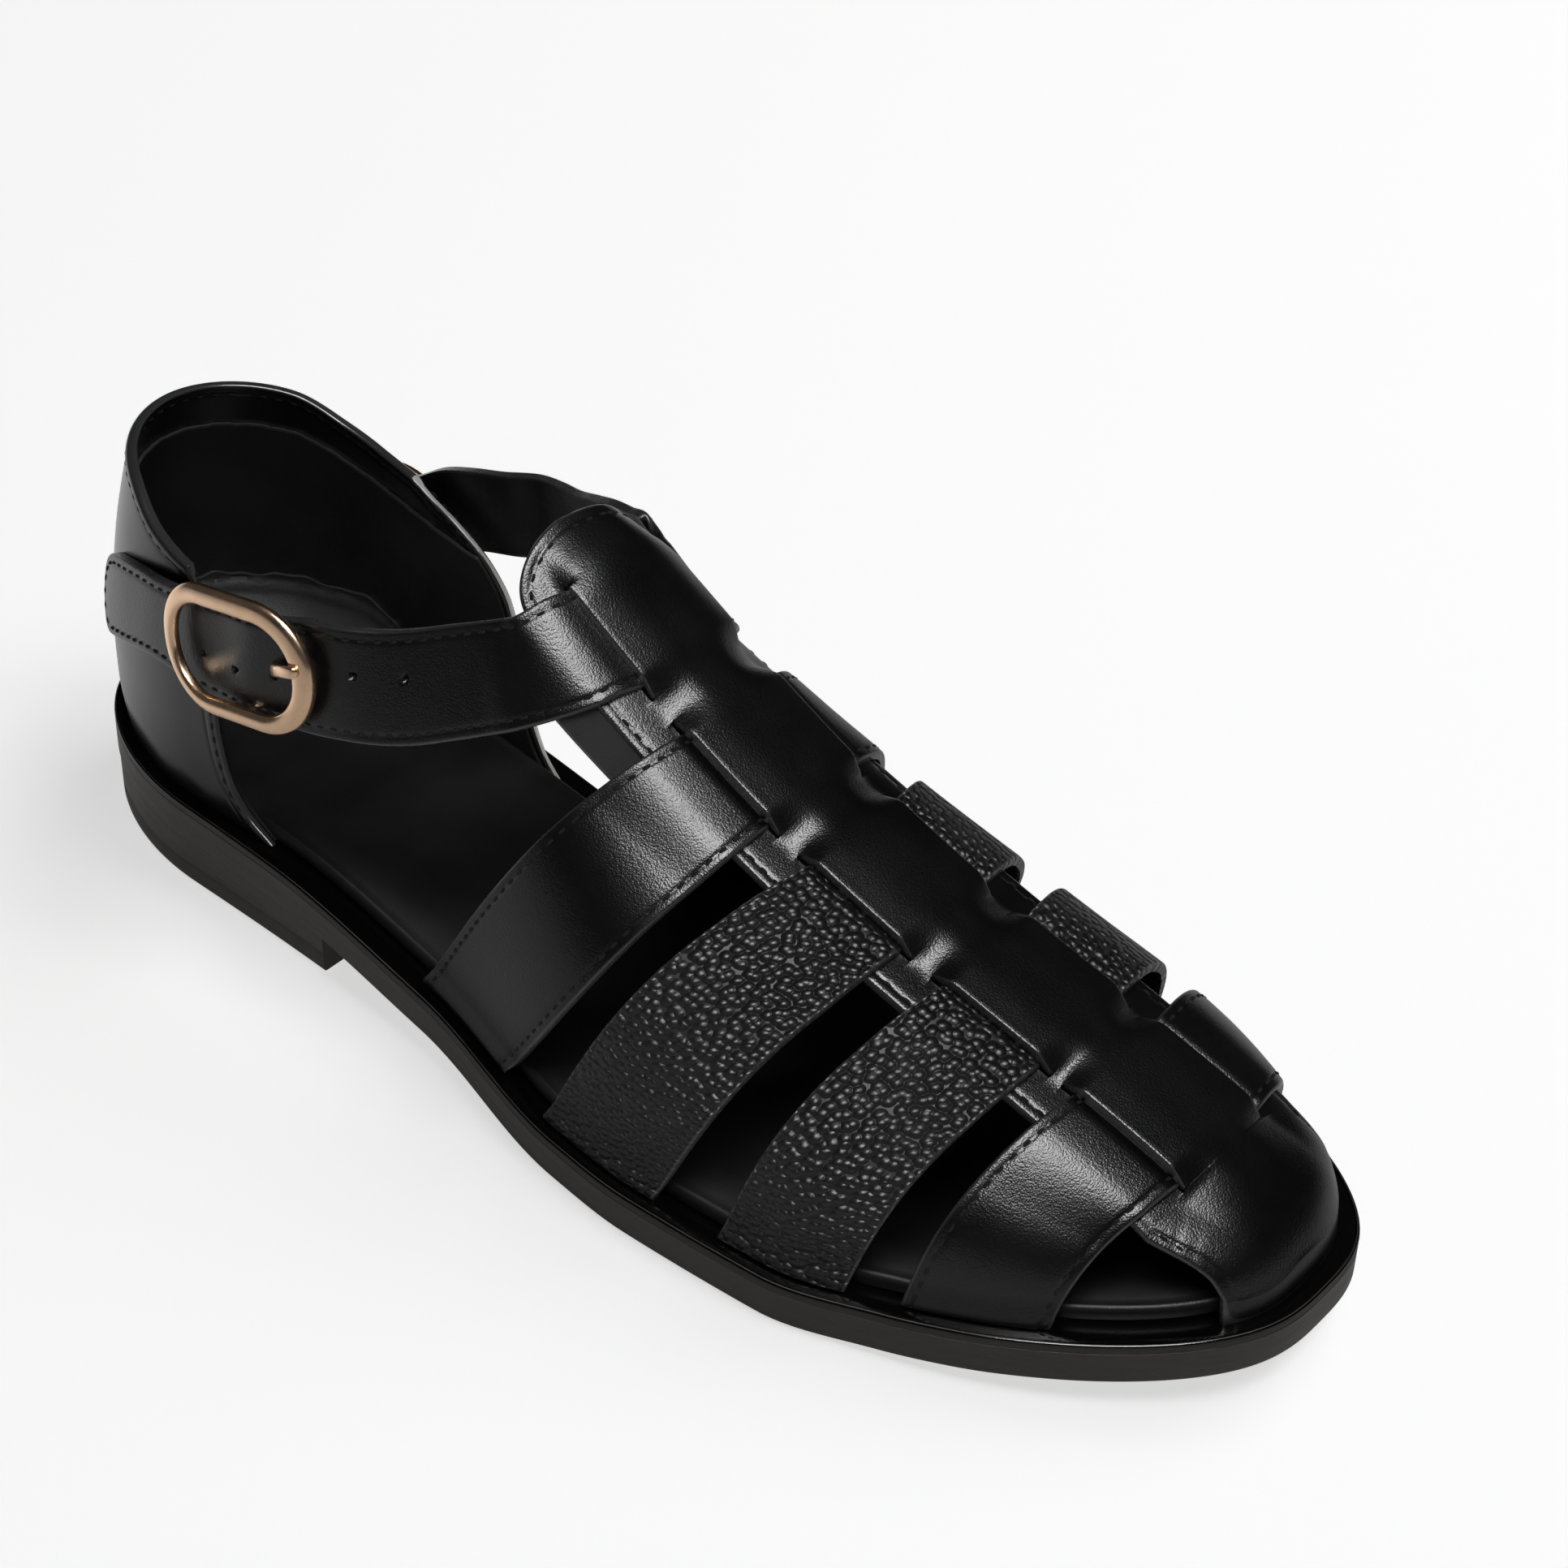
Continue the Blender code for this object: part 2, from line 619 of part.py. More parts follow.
def add_cross_straps(wall):
    """Each cross strap, from the strip's edge down to the welt on both sides."""
    for k in range(len(STRAPS["front"])):
        name = f"strap{k + 2}"
        for side in (LATERAL, MEDIAL):
            edge = 0 if side == LATERAL else len(STRIP_LINES) - 1
            word = side_name(side)
            for j, along in enumerate(STRAP_SHARES):
                x_strip = STRAPS["back"][k] + along * (STRAPS["front"][k] - STRAPS["back"][k])
                sole_back, sole_front = STRAPS[word + "_back"][k], STRAPS[word + "_front"][k]
                x_sole = sole_back + along * (sole_front - sole_back)
                for i, share in enumerate(SIDE_SHARES):
                    point, normal = strap_side_point(x_strip, x_sole, side, share)
                    ends = clear_of_welt(point, normal, STRAP_WALL, share)
                    wall.corner((name, word, j, i), *ends)
            add_side_cells(wall, name, word, edge, len(STRAP_SHARES), len(SIDE_SHARES))


def add_side_cells(wall, name, word, edge, lines, columns):
    """Cells of a strap from the strip's edge outward."""
    for j in range(lines - 1):
        inner = [((name, j), edge), ((name, j + 1), edge)]
        for i in range(columns):
            outer = [(name, word, j, i), (name, word, j + 1, i)]
            wall.cell(inner[0], outer[0], outer[1], inner[1])
            inner = outer


def prong_hole(side):
    """Back and front station of the prong hole along an ankle band."""
    forward = buckle_axes(side)[1]
    return [BUCKLE_AT[side] + reach * forward[0] for reach in HOLE]


def band_stations(side):
    """Stations back along an ankle band, with lines either side of the prong hole."""
    hole = prong_hole(side)
    ahead = [s for s in BAND_STATIONS if s > hole[1] + HOLE_CLEAR]
    behind = [s for s in BAND_STATIONS if s < hole[0] - HOLE_CLEAR]
    return ahead + hole[::-1] + behind


def add_ankle_bands(wall):
    """Both ankle bands, each with one cell left open as the prong's hole."""
    for side in (LATERAL, MEDIAL):
        edge = 0 if side == LATERAL else len(STRIP_LINES) - 1
        word = side_name(side)
        stations = band_stations(side)
        grid = np.array([[band_point(side, at, share) for at in stations] for share in BAND_LINES])
        along = np.gradient(grid, axis=1)
        across = np.gradient(grid, axis=0)
        normal = np.cross(along, across)
        normal /= np.linalg.norm(normal, axis=-1, keepdims=True)
        normal *= np.sign(normal[..., 1:2]) * side
        for j in range(len(BAND_LINES)):
            for i in range(len(stations)):
                middle, out = grid[j, i], normal[j, i] * BAND_WALL / 2
                wall.corner(("ankle", word, j, i), middle - out, middle + out)
        hole_front = stations.index(prong_hole(side)[1])
        for j in range(len(BAND_LINES) - 1):
            inner = [(("ankle", j), edge), (("ankle", j + 1), edge)]
            for i in range(len(stations)):
                outer = [("ankle", word, j, i), ("ankle", word, j + 1, i)]
                if not (j == HOLE_LINE and i == hole_front + 1):
                    wall.cell(inner[0], outer[0], outer[1], inner[1])
                inner = outer


def make_upper(material):
    wall = Wall()
    last_row = add_strip(wall)
    add_toe_piece(wall, last_row)
    add_cross_straps(wall)
    add_ankle_bands(wall)
    return wall.build("upper", material)


# Heel counter with its buckle tab

def counter_columns():
    """Columns round the counter: side, angle round the heel or share of the straight side."""
    straight = (1.0, 0.66, 0.33)
    turns = np.linspace(math.pi / 2, 0, 11)
    columns = [(LATERAL, None, s) for s in straight]
    columns += [(LATERAL, t, 0.0) for t in turns]
    columns += [(MEDIAL, t, 0.0) for t in turns[::-1][1:]]
    columns += [(MEDIAL, None, s) for s in straight[::-1]]
    return columns


def counter_corner(column, share, front_x, extra):
    """A corner of the counter; extra moves it inward from the outer face."""
    side, turn, along = column
    if turn is None:
        x = HEEL_ROUND + (front_x - HEEL_ROUND) * along
    else:
        x = HEEL_ROUND * (1 - math.cos(turn))
    foot = float(sole_top(x)) + GAP
    height = (float(smooth(TOPLINE, "height", x)) - foot) * share
    plan_x, plan_y = counter_plan(turn, x, side, height, extra)
    return np.array([plan_x, plan_y, foot + height])


def make_heel_counter(material):
    """The open heel cup, one wall from its lateral front edge round to its medial one."""
    wall = Wall()
    columns = counter_columns()
    shares = COUNTER_FRONT["share"]
    for i, column in enumerate(columns):
        for j, share in enumerate(shares):
            front = COUNTER_FRONT[side_name(column[0])][j]
            outer = counter_corner(column, share, front, 0.0)
            inner = counter_corner(column, share, front, COUNTER_WALL)
            wall.corner((i, j), inner, outer)
    for i in range(len(columns) - 1):
        for j in range(len(shares) - 1):
            wall.cell((i, j), (i + 1, j), (i + 1, j + 1), (i, j + 1))
    add_buckle_tab(wall, LATERAL, 0)
    return wall.build("heel_counter", material)


def add_buckle_tab(wall, side, column):
    """The counter runs forward under the band as a short tab that ends at the buckle's bar."""
    middle, forward, up, outward = buckle_axes(side)
    inward = BAR_IN - COUNTER_WALL / 2
    for j, rise in zip(TAB_ROWS_USED, (-TAB_HALF, 0.0, TAB_HALF)):
        end = middle + forward * (BAR_AHEAD - BAR_RADIUS - TAB_SLACK) + up * rise
        start_out = wall.outer[wall.order[(column, j)]]
        start_in = wall.inner[wall.order[(column, j)]]
        end_out = end - outward * inward
        end_in = end - outward * (inward + COUNTER_WALL)
        wall.corner((column, j, "half"), (start_in + end_in) / 2, (start_out + end_out) / 2)
        wall.corner((column, j, "end"), end_in, end_out)
    for low, high in zip(TAB_ROWS_USED, TAB_ROWS_USED[1:]):
        wall.cell((column, low), (column, high), (column, high, "half"), (column, low, "half"))
        wall.cell((column, low, "half"), (column, high, "half"), (column, high, "end"),
                  (column, low, "end"))


# Buckles

def frame_line(count_corner=6):
    """Middle line of the buckle frame, a rectangle with round corners."""
    centres = [(1, 1, 0), (-1, 1, 90), (-1, -1, 180), (1, -1, 270)]
    line = []
    for sx, sy, start in centres:
        cx = sx * (FRAME_LONG / 2 - FRAME_CORNER)
        cy = sy * (FRAME_TALL / 2 - FRAME_CORNER)
        for step in range(count_corner + 1):
            turn = math.radians(start + 90 * step / count_corner)
            line.append((cx + FRAME_CORNER * math.cos(turn), cy + FRAME_CORNER * math.sin(turn),
                         math.cos(turn), math.sin(turn)))
    return line


def make_buckle_frame(name, side, material):
    """A flattened ring, with a bar that dips behind the band joined to it."""
    middle, forward, up, outward = buckle_axes(side)
    profile = [(math.cos(a) * FRAME_FACE / 2, math.sin(a) * FRAME_DEPTH / 2)
               for a in np.radians([0, 50, 90, 130, 180, 230, 270, 310])]
    line = frame_line()
    points = []
    for u, v, nu, nv in line:
        for wide, deep in profile:
            spot = middle + forward * (u + nu * wide) + up * (v + nv * wide)
            points.append(spot + outward * (FRAME_OUT + deep))
    faces = []
    size = len(profile)
    for i in range(len(line)):
        faces += ring_faces(i * size, ((i + 1) % len(line)) * size, size)
    frame = to_object(name, points, faces, material)
    path = []
    for sign in (1, -1):
        leg = [(FRAME_TALL / 2 - inset, level) for inset, level in BAR_LEG]
        path += [(sign * v, n) for v, n in leg[::sign]]
    path = [middle + forward * BAR_AHEAD + up * v + outward * n for v, n in path]
    bar = make_tube(name + "_bar", path, BAR_RADIUS, 8, forward, material)
    join = frame.modifiers.new("join bar", "BOOLEAN")
    join.operation = "UNION"
    join.solver = "EXACT"
    join.object = bar
    bar.hide_render = True
    bar.display_type = "WIRE"
    return frame


def make_tube(name, path, radius, sides, across, material):
    """A closed tube along a path that stays square to one given direction."""
    points = []
    path = [np.asarray(p, float) for p in path]
    for i, spot in enumerate(path):
        before = path[max(i - 1, 0)]
        after = path[min(i + 1, len(path) - 1)]
        along = (after - before) / np.linalg.norm(after - before)
        other = np.cross(along, across)
        other /= np.linalg.norm(other)
        for k in range(sides):
            turn = 2 * math.pi * k / sides
            points.append(spot + radius * (math.cos(turn) * across + math.sin(turn) * other))
    faces = []
    for i in range(len(path) - 1):
        faces += ring_faces(i * sides, (i + 1) * sides, sides)
    faces.append(list(range(sides)))
    faces.append(list(range((len(path) - 1) * sides, len(path) * sides)))
    return to_object(name, points, faces, material)


def make_prong(name, side, material):
    """The prong comes up through its hole and rests on the front side of the frame."""
    middle, forward, up, outward = buckle_axes(side)
    rest = FRAME_OUT + FRAME_DEPTH / 2 + GAP + PRONG_RADIUS
    front = FRAME_LONG / 2
    route = [(BAR_AHEAD + 3.4, -BAR_IN), (BAR_AHEAD + 4.2, -1.2), (BAR_AHEAD + 5.2, 1.4),
             (front - 4.4, rest - 0.6), (front - 2.0, rest), (front + 0.9, rest), (front + 1.7, rest - 0.3)]
    path = [middle + forward * u + outward * n for u, n in route]
    return make_tube(name, path, PRONG_RADIUS, 8, up, material)


def main():
    for item in list(bpy.data.objects):
        bpy.data.objects.remove(item, do_unlink=True)
    smooth_leather = finish("black smooth leather", (0.012, 0.012, 0.013), 0.32)
    sole_leather = finish("brown black sole edge", (0.035, 0.028, 0.024), 0.55)
    glossy_welt = finish("glossy black welt", (0.008, 0.008, 0.008), 0.18)
    sock_leather = finish("black sock leather", (0.015, 0.015, 0.016), 0.5)
    rose_gold = finish("rose gold metal", (0.85, 0.55, 0.38), 0.18, 1.0)
    make_outsole(sole_leather)
    make_heel_block(sole_leather)
    make_welt(glossy_welt)
    make_insole(sock_leather)
    make_upper(smooth_leather)
    make_heel_counter(smooth_leather)
    for side in (LATERAL, MEDIAL):
        make_buckle_frame("buckle_frame_" + side_name(side), side, rose_gold)
        make_prong("buckle_prong_" + side_name(side), side, rose_gold)


if __name__ == "__main__":
    main()
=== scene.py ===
"""Closed toe fisherman sandal, right shoe: the finish of every surface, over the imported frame.

Sizes are shoe millimetres, as the construction has them: x forward from the back of the heel,
y to the medial side, z up from the floor. add_mesh moves them into the frame and into metres.
"""

import math

import bmesh
import bpy
import numpy as np
from mathutils import Matrix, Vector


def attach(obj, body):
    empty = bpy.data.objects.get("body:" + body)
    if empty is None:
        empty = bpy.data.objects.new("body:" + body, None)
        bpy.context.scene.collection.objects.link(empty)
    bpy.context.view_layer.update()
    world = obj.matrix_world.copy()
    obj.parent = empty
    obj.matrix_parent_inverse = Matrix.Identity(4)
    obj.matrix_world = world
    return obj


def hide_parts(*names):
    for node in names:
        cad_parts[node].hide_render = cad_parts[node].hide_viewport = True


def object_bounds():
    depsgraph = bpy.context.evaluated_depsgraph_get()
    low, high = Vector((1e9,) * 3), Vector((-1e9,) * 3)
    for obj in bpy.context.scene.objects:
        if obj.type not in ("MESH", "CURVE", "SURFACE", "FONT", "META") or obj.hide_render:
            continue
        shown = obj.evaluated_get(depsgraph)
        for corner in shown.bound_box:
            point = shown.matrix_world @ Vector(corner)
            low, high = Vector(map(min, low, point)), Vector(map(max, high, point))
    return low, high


bl_info = {
    "name": "Fisherman sandal",
    "version": (1, 0, 0),
    "blender": (4, 5, 0),
    "location": "View3D > Sidebar > Sandal",
    "description": "Dresses the packed sandal: leather, stitching, buckles, sole and stage",
    "category": "Object",
}

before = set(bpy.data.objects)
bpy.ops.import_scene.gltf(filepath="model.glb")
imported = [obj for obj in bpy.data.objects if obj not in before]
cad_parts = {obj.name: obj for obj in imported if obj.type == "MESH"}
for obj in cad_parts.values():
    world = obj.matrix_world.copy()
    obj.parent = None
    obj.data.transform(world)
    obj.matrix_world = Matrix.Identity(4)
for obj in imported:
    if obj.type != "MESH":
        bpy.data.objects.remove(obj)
BOX_LOW, BOX_HIGH = [np.array(corner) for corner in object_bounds()]
MM = 0.001
LATERAL, MEDIAL = -1, 1
SIDES = {LATERAL: "lateral", MEDIAL: "medial"}


# ---------------------------------------------------------------- sizes shared with the solids

LENGTH = round((BOX_HIGH - BOX_LOW)[0] / MM, 3)
SOLE_EDGE = 8.95
WELT_EDGE = 1.85
HEEL_INSET = 0.2
HEEL_BREAST = 85.0
HEEL_ROUND = 46.0
TOE_ROUND = 43.6
TOE_POWER = 2.97
TOE_SWING = 8.75
SWING_START = 0.6
COUNTER_WALL = 2.0
STRAP_WALL = 1.8
INSOLE_TOP = 3.0
INSOLE_INSET = 2.4


def table(text):
    """A table from its text, as named columns; the first column is the one read against."""
    names, *rows = [line.split() for line in text.split("\n") if line.strip()]
    return dict(zip(names, np.array(rows, float).T))


SOLE = table("""
    x    lateral  medial  rim  top
    0    31       31      3    19.5
    34   32.2     31.5    3.2  19.5
    71   33.6     30.5    3.6  18.4
    114  37       30      3.6  12.4
    157  47       39.5    3.6  9.1
    176  48.8     44.2    3.6  8.95
    206  48.6     47.6    3.8  8.95
    228  44       46.8    4.2  10
    256  36.2     40.8    4.8  12.9
    285  28.6     30.5    5    16.2""")
LAST = table("""
    x    ridge_y  ridge_z  lateral_power  medial_power
    96   5        117      2.4            2.6
    124  5        94       2.4            2.8
    148  5.5      76.5     2.4            3
    173  6        62.5     2.4            3.1
    203  6.5      50.5     2.5            3.3
    233  7.5      41       2.5            3.4
    261  8.5      31.5     2.6            3.4
    273  8.7      26.5     2.8            3.2
    279  8.75     20       2.8            3""")
LEAN = table("""
    height  back  side
    0       0     0
    10      -1.2  -1
    20      -1.2  -1.2
    32      0.4   -0.6
    45      3     0.6
    60      7     2.4
    68      9.5   3.6""")
TOPLINE = table("""
    x   height
    0   85
    20  82.5
    35  77.5
    60  71.5""")
COUNTER_FRONT = table("""
    share  lateral  medial
    0      67       92
    0.08   60.5     87
    0.2    56.5     83.5
    0.35   54.8     81.5
    0.5    54       80.5
    0.65   53       79
    0.78   51.5     75
    0.9    49.5     67
    1      47.5     55""")
STRAPS = table("""
    front  back  lateral_front  lateral_back  medial_front  medial_back
    173    149   139.5          112           146           119
    203    178   180.5          152           184           157
    233    208   219.5          195           222           197
    261    236   252.5          229           253           231""")
ANKLE_SLIT = (124.0, 144.0)
BAND = {
    LATERAL: table("""
        at   top_x  top_y  top_z  low_x  low_y  low_z  lift
        15   15     0      61.5   14.5   0      43.5   1.5
        20   20.2   0      64     19.5   0      45.5   1.5
        31   31.5   0      69.3   30     0      49.8   1.6
        43   44.5   0      72.6   42.5   0      54     2.8
        54   55.5   0      75     53     0      56.2   4.2
        66   67.5   0      77.1   65.5   0      58.3   4.3
        76   76.8   0      78.6   75.6   0      59.6   4.3
        84   84.5   -30    80.5   85     -33.2  60.5   4.3
        98   97.5   -25    82     101    -30.6  62.7   4.3
        110  109    -20    86     116    -26.8  69     4.3
        119  118.5  -16.6  90     129    -23.6  76     4.3"""),
    MEDIAL: table("""
        at   top_x  top_y  top_z  low_x  low_y  low_z  lift
        15   14     0      48.6   16.4   0      32     3.4
        20   17.8   0      50     22     0      33.4   4
        35   31.2   0      55.6   38.4   0      39.2   4.8
        50   46     0      65     54     0      48.8   4.6
        64   62     0      75.6   66     0      57.6   4.2
        84   84     30     82.8   85     33.5   63     4
        98   97     27     86.2   101    32     67.5   4
        110  109    23.8   90.8   116    30.2   71.5   4
        119  118.5  21.4   93     129    28.8   73     4"""),
}
BAND_WALL = 2.0
ON_COUNTER = 66.0
OFF_COUNTER = 84.0
BAND_KNOTS = (119.0, 114.5, 110.0, 104.0, 98.0, 91.0, 84.0, 76.0, 68.0, 61.0, 54.0, 47.0, 41.0,
              34.0, 27.0, 20.0, 15.0)
STRIP_HALF = 19.5
MARGIN_HEIGHT = 1.8
TAB_SQUARE = 123.5
TOE_FAN = 261.5
FRAME_LONG = 34.9
FRAME_TALL = 22.6
FRAME_CORNER = 10.8
FRAME_FACE = 3.9
FRAME_DEPTH = 2.4
FRAME_OUT = 2.6
BAR_IN = 2.9
BAR_RADIUS = 1.1
BAR_AHEAD = 0.9
BUCKLE_AT = {LATERAL: 69.0, MEDIAL: 35.0}
HOLES = table("""
    ahead  up
    -11.3  -1.6
    -2     -2.2
    8      -0.8
    24     2.2
    33.6   1.8""")
BAND_LOWERED = table("""
    at   lateral  lateral_top  medial  medial_top
    15   0.3      0.2          0       0
    40   0.3      1.4          0       0
    50   1.4      1.4          0       0
    60   3.4      0.8          0       0
    80   3.3      0            0       0
    98   1.6      0            0       0
    119  1.5      0            0       0""")
STRAP_SWEEPS = table("""
    strap  back  front
    0      1.35  1.7
    1      1.3   1.5
    2      1.3   1.35
    3      1.2   1""")

# ---------------------------------------------------------------- sizes of the finish alone

EDGE_LINES = np.array([0.0, 0.04, 0.12, 0.26, 0.45, 0.75, 1.2, 1.65, 1.9, 2.15, 2.4, 2.65, 3.1])
STITCH_LINE = 8           # the edge line that a row of stitches follows
STITCH_TROUGH = 0.16      # how deep the trough under a row of stitches is
TROUGH_WIDTH = 0.42
EDGE_FALL = (0.10, 3.4)   # how much, and from how far in, leather falls toward a cut edge
FOOT_RUN = 6.0            # length over which a foot turns out onto the welt
MIDDLE_HALF = 11.2        # half width of the strip's middle, between its slits
MIDDLE_RAISED = 5.3       # the middle's height over a strap
MIDDLE_BETWEEN = 4.6      # and between two straps
TAB_RAISED = 2.3          # and on the instep tab
TAB_FLAT = 2.2            # how far the stiff tab's sides stand off the instep
TAB_SINKS = 106.0         # x from which they settle onto it
TAB_ENDS = 116.0          # x from which the middle rises to its height between straps
TAB_RUN = 14.0            # length that each of these changes takes
TOE_RUN = 15.0            # length over which the middle sinks into the toe piece
FIRST_LEAD = 9.0          # how far ahead of the first slit the middle starts to lift
OTHER_LEAD = 2.0          # and of any other slit
LIFT_RUN = 4.0            # how far past the slit's start it goes on lifting
LIFT_END = 6.0            # length over which it comes down at the slit's end
BRIDGE_FLAT = 3.0         # half width of the level middle between two straps
BRIDGE_FALL = 10.0        # width over which it runs down to the margin
TAB_ROWS_END = 130.0      # x where rows that follow the tab's edge give way to square rows
TOE_WIDENS = 240.0        # x from which the strip grows wider
TOE_MIDDLE = (250.0, 10.0)  # plan point from which the toe piece's foot turns outward
TOE_SLACK = 1.2           # how far inside its foot the toe piece leaves the last
TOE_ROWS = 90
SLIT_OVER = 0.4           # a slit runs on past its crossing at both ends
SLIT_OPEN = 0.4           # width of the open slit
SLIT_ROLL = 0.45          # radius of the slit's edge
SLIT_HAIR = 1e-6          # keeps a point on the slit's line on its inner side
TAB_START = 115.6
TAB_POWER = 3.0
TAB_SLANT = 0.10          # how the tab's back edge falls away to the medial side
TOE_WIDER = 1.11          # the strip widens toward the toe
TOE_LATERAL_CORNER = 274.4
TOE_MEDIAL_CORNER = 269.0
TOE_FOOT_OUT = 0.8
FOOT_FLARE = 1.1          # how far a foot turns out onto the welt
STRAP_SETS_OUT = 11.0     # distance from the ridge where a strap starts to sweep back
STRAP_TAPER = 2.0         # a strap is narrower than its slit by this at both edges
STRAP_ROWS = 91           # rows of a strap on each side of the strip
LAST_STRAP_WIDER = 1.2    # how much wider the fifth strap sets out
STRAP_UNDER = 0.7         # height of a strap's flesh side under the strip's middle
SEAM_GROOVE = 0.14        # depth of the groove between the outsole and the welt
HEEL_GROOVE = ((4.3, 0.0), (4.45, 0.12), (4.6, 0.0))  # heights and insets of the lift's seam
INSOLE_ROLL = 1.1         # radius of the insole's rolled edge
BAR_LEGS = {1: (1.0, 1.7, 2.3, 2.6, 3.4), -1: (0.2, -0.2, -0.4, 0.3, 1.6)}  # inside the frame
BAND_WIDTH = 20.0
BAND_SWEEP = 0.36
BAND_CAP = 14.0           # length of the band's end whose rows bend to its rounded tip
FRAME_BOW = 1.2           # how far the frame's middle stands proud of its ends
TIP_SHORT = 2.5
TIP_LENGTH = 6.8
TIP_POWER = 2.15
COLLAR_FACING = 9.5       # height of the leather facing inside the collar
COUNTER_TURN = 0.62       # share of the counter's half span that turns round the heel
COUNTER_RUN = 90.0        # length that a whole half span stands for
COUNTER_RISE = 62.0       # height that a whole share stands for
COUNTER_STITCH = 0.5      # its stitches lie further in than the others by this
COUNTER_EDGE = 3.6        # reach of the close rows inside its cut edges
COLLAR_BEAD = 0.30        # how far the rolled collar stands proud
BUCKLE_TAB_HALF = 5.6     # half width of the strap that holds the lateral buckle
BUCKLE_TAB_WALL = 1.4
LINING_WALL = 0.7
SOCK_RISE = 13.0          # how far the heel sock turns up the inside of the counter
SOCK_TURN = 0.72          # share of the sock's half span that turns round the heel
SOCK_RUN = 12.0           # length of the rest of it
SOCK_WAVE = 0.45          # height of the waves of its top edge
SOCK_COVE = 9.0           # how far its foot curves in over the insole
# Painted light: the sole's edge is painted paler toward the heel, where light falls on it.
HEEL_PAINTED_LIGHT = (-0.12, 0.10)  # from fully to not paler, along the shoe in metres


def millimetres(name, default, low, high, description):
    return bpy.props.FloatProperty(name=name, description=description + ", in millimetres",
                                   default=default, min=low, max=high)


def tone(name, default, description):
    return bpy.props.FloatVectorProperty(name=name, description=description, subtype="COLOR",
                                         size=3, default=default, min=0, max=1)


class SandalSizes(bpy.types.PropertyGroup):
    """Sizes of the sewing and of the leather's grain."""

    stitch_pitch: millimetres("Stitch pitch", 3.1, 1.0, 5.0, "From one stitch to the next")
    stitch_length: millimetres("Stitch length", 1.75, 0.5, 4.0, "Thread that shows in one stitch")
    stitch_width: millimetres("Thread width", 0.62, 0.2, 1.2, "Width of the thread")
    stitch_inset: millimetres("Stitch inset", 1.9, 1.0, 4.0, "From the cut edge to the stitches")
    edge_round: millimetres("Edge round", 0.62, 0.1, 0.9, "How far cut edges are rounded over")
    pebble: millimetres("Pebble", 1.75, 0.8, 4.0, "Size of one pebble of the coarse grain")
    pore: millimetres("Pore", 0.36, 0.1, 1.5, "Size of the smooth leather's fine grain")


class SandalColours(bpy.types.PropertyGroup):
    """Colours of the sandal's materials and of the floor."""

    leather: tone("Leather", (0.0045, 0.0045, 0.0046), "Black upper leather")
    lining: tone("Lining", (0.0115, 0.0115, 0.0113), "Lining and sock leather")
    sole: tone("Sole edge", (0.0250, 0.0204, 0.0174), "Brown black edge of the sole")
    metal: tone("Buckle", (1.0, 0.70, 0.48), "Pale rose gold of the buckles")
    floor: tone("Floor", (0.93, 0.93, 0.93), "Pale floor")


# ---------------------------------------------------------------- the shape of the last

def cubic(t, step, start, end, leaving, arriving):
    """Cubic between two values with their slopes, at t from 0 to 1 of the step between them."""
    return ((1 + 2 * t) * (1 - t) ** 2 * start + t * (1 - t) ** 2 * step * leaving
            + t * t * (3 - 2 * t) * end + t * t * (t - 1) * step * arriving)


def knot_before(knots, at):
    return np.clip(np.searchsorted(knots, at, side="right") - 1, 0, len(knots) - 2)


def smooth(columns, name, at):
    """Monotone cubic curve through one column of a table, read against its first column. The slope
    at a knot is the weighted harmonic mean of both sides, or 0 where the column turns."""
    knots = next(iter(columns.values()))
    values = columns[name]
    at = np.clip(np.asarray(at, float), knots[0], knots[-1])
    step = np.diff(knots)
    slope = np.diff(values) / step
    tangent = np.zeros_like(values)
    before, after = slope[:-1], slope[1:]
    same_way = before * after > 0
    early = 2 * step[1:] + step[:-1]
    late = step[1:] + 2 * step[:-1]
    harmonic = early / both(same_way, before, 1.0) + late / both(same_way, after, 1.0)
    tangent[1:-1] = both(same_way, (early + late) / harmonic, 0.0)
    tangent[0], tangent[-1] = slope[0], slope[-1]
    i = knot_before(knots, at)
    return cubic((at - knots[i]) / step[i], step[i], values[i], values[i + 1], tangent[i],
                 tangent[i + 1])


def sided(columns, name, side, at):
    """A column that the lateral and medial sides each have, read on every point's own side."""
    return both(side < 0, *(smooth(columns, word + name, at) for word in SIDES.values()))


def both(pick, first, second):
    """The first value where pick is true, and the second elsewhere."""
    return np.where(pick, first, second)


def arc(value, power):
    """Height of a superellipse over its half width."""
    return (1 - np.abs(value) ** power) ** (1 / power)


def squared(value, power):
    """A power that keeps the sign."""
    return np.sign(value) * np.abs(value) ** power


def rolled(distance, radius):
    """Depth of a quarter circle over an edge, at a distance in from the edge."""
    inner = np.clip(radius - distance, 0, radius)
    return radius - np.sqrt(np.maximum(radius ** 2 - inner ** 2, 0))


def ease(value):
    """Smooth step: 0 below 0, 1 above 1, and three squares less two cubes between."""
    value = np.clip(value, 0, 1)
    return value * value * (3 - 2 * value)


def ramp(value):
    """A straight rise from 0 to 1 that is rounded off by a parabola at both ends."""
    value = np.clip(value, 0, 1)
    low = np.minimum(value, 1 - value)
    risen = both(low < 0.25, low ** 2 / 0.375, (low - 0.125) / 0.75)
    return both(value < 0.5, risen, 1 - risen)


def hump(value, middle, width):
    """A soft bell of height 1 round the middle."""
    return np.exp(-((value - middle) / width) ** 2)


def swing(x):
    """Sideways shift of the sole's middle line: it grows as the square ahead of its start."""
    return TOE_SWING * np.clip((x / LENGTH - SWING_START) / (1 - SWING_START), 0, 1) ** 2


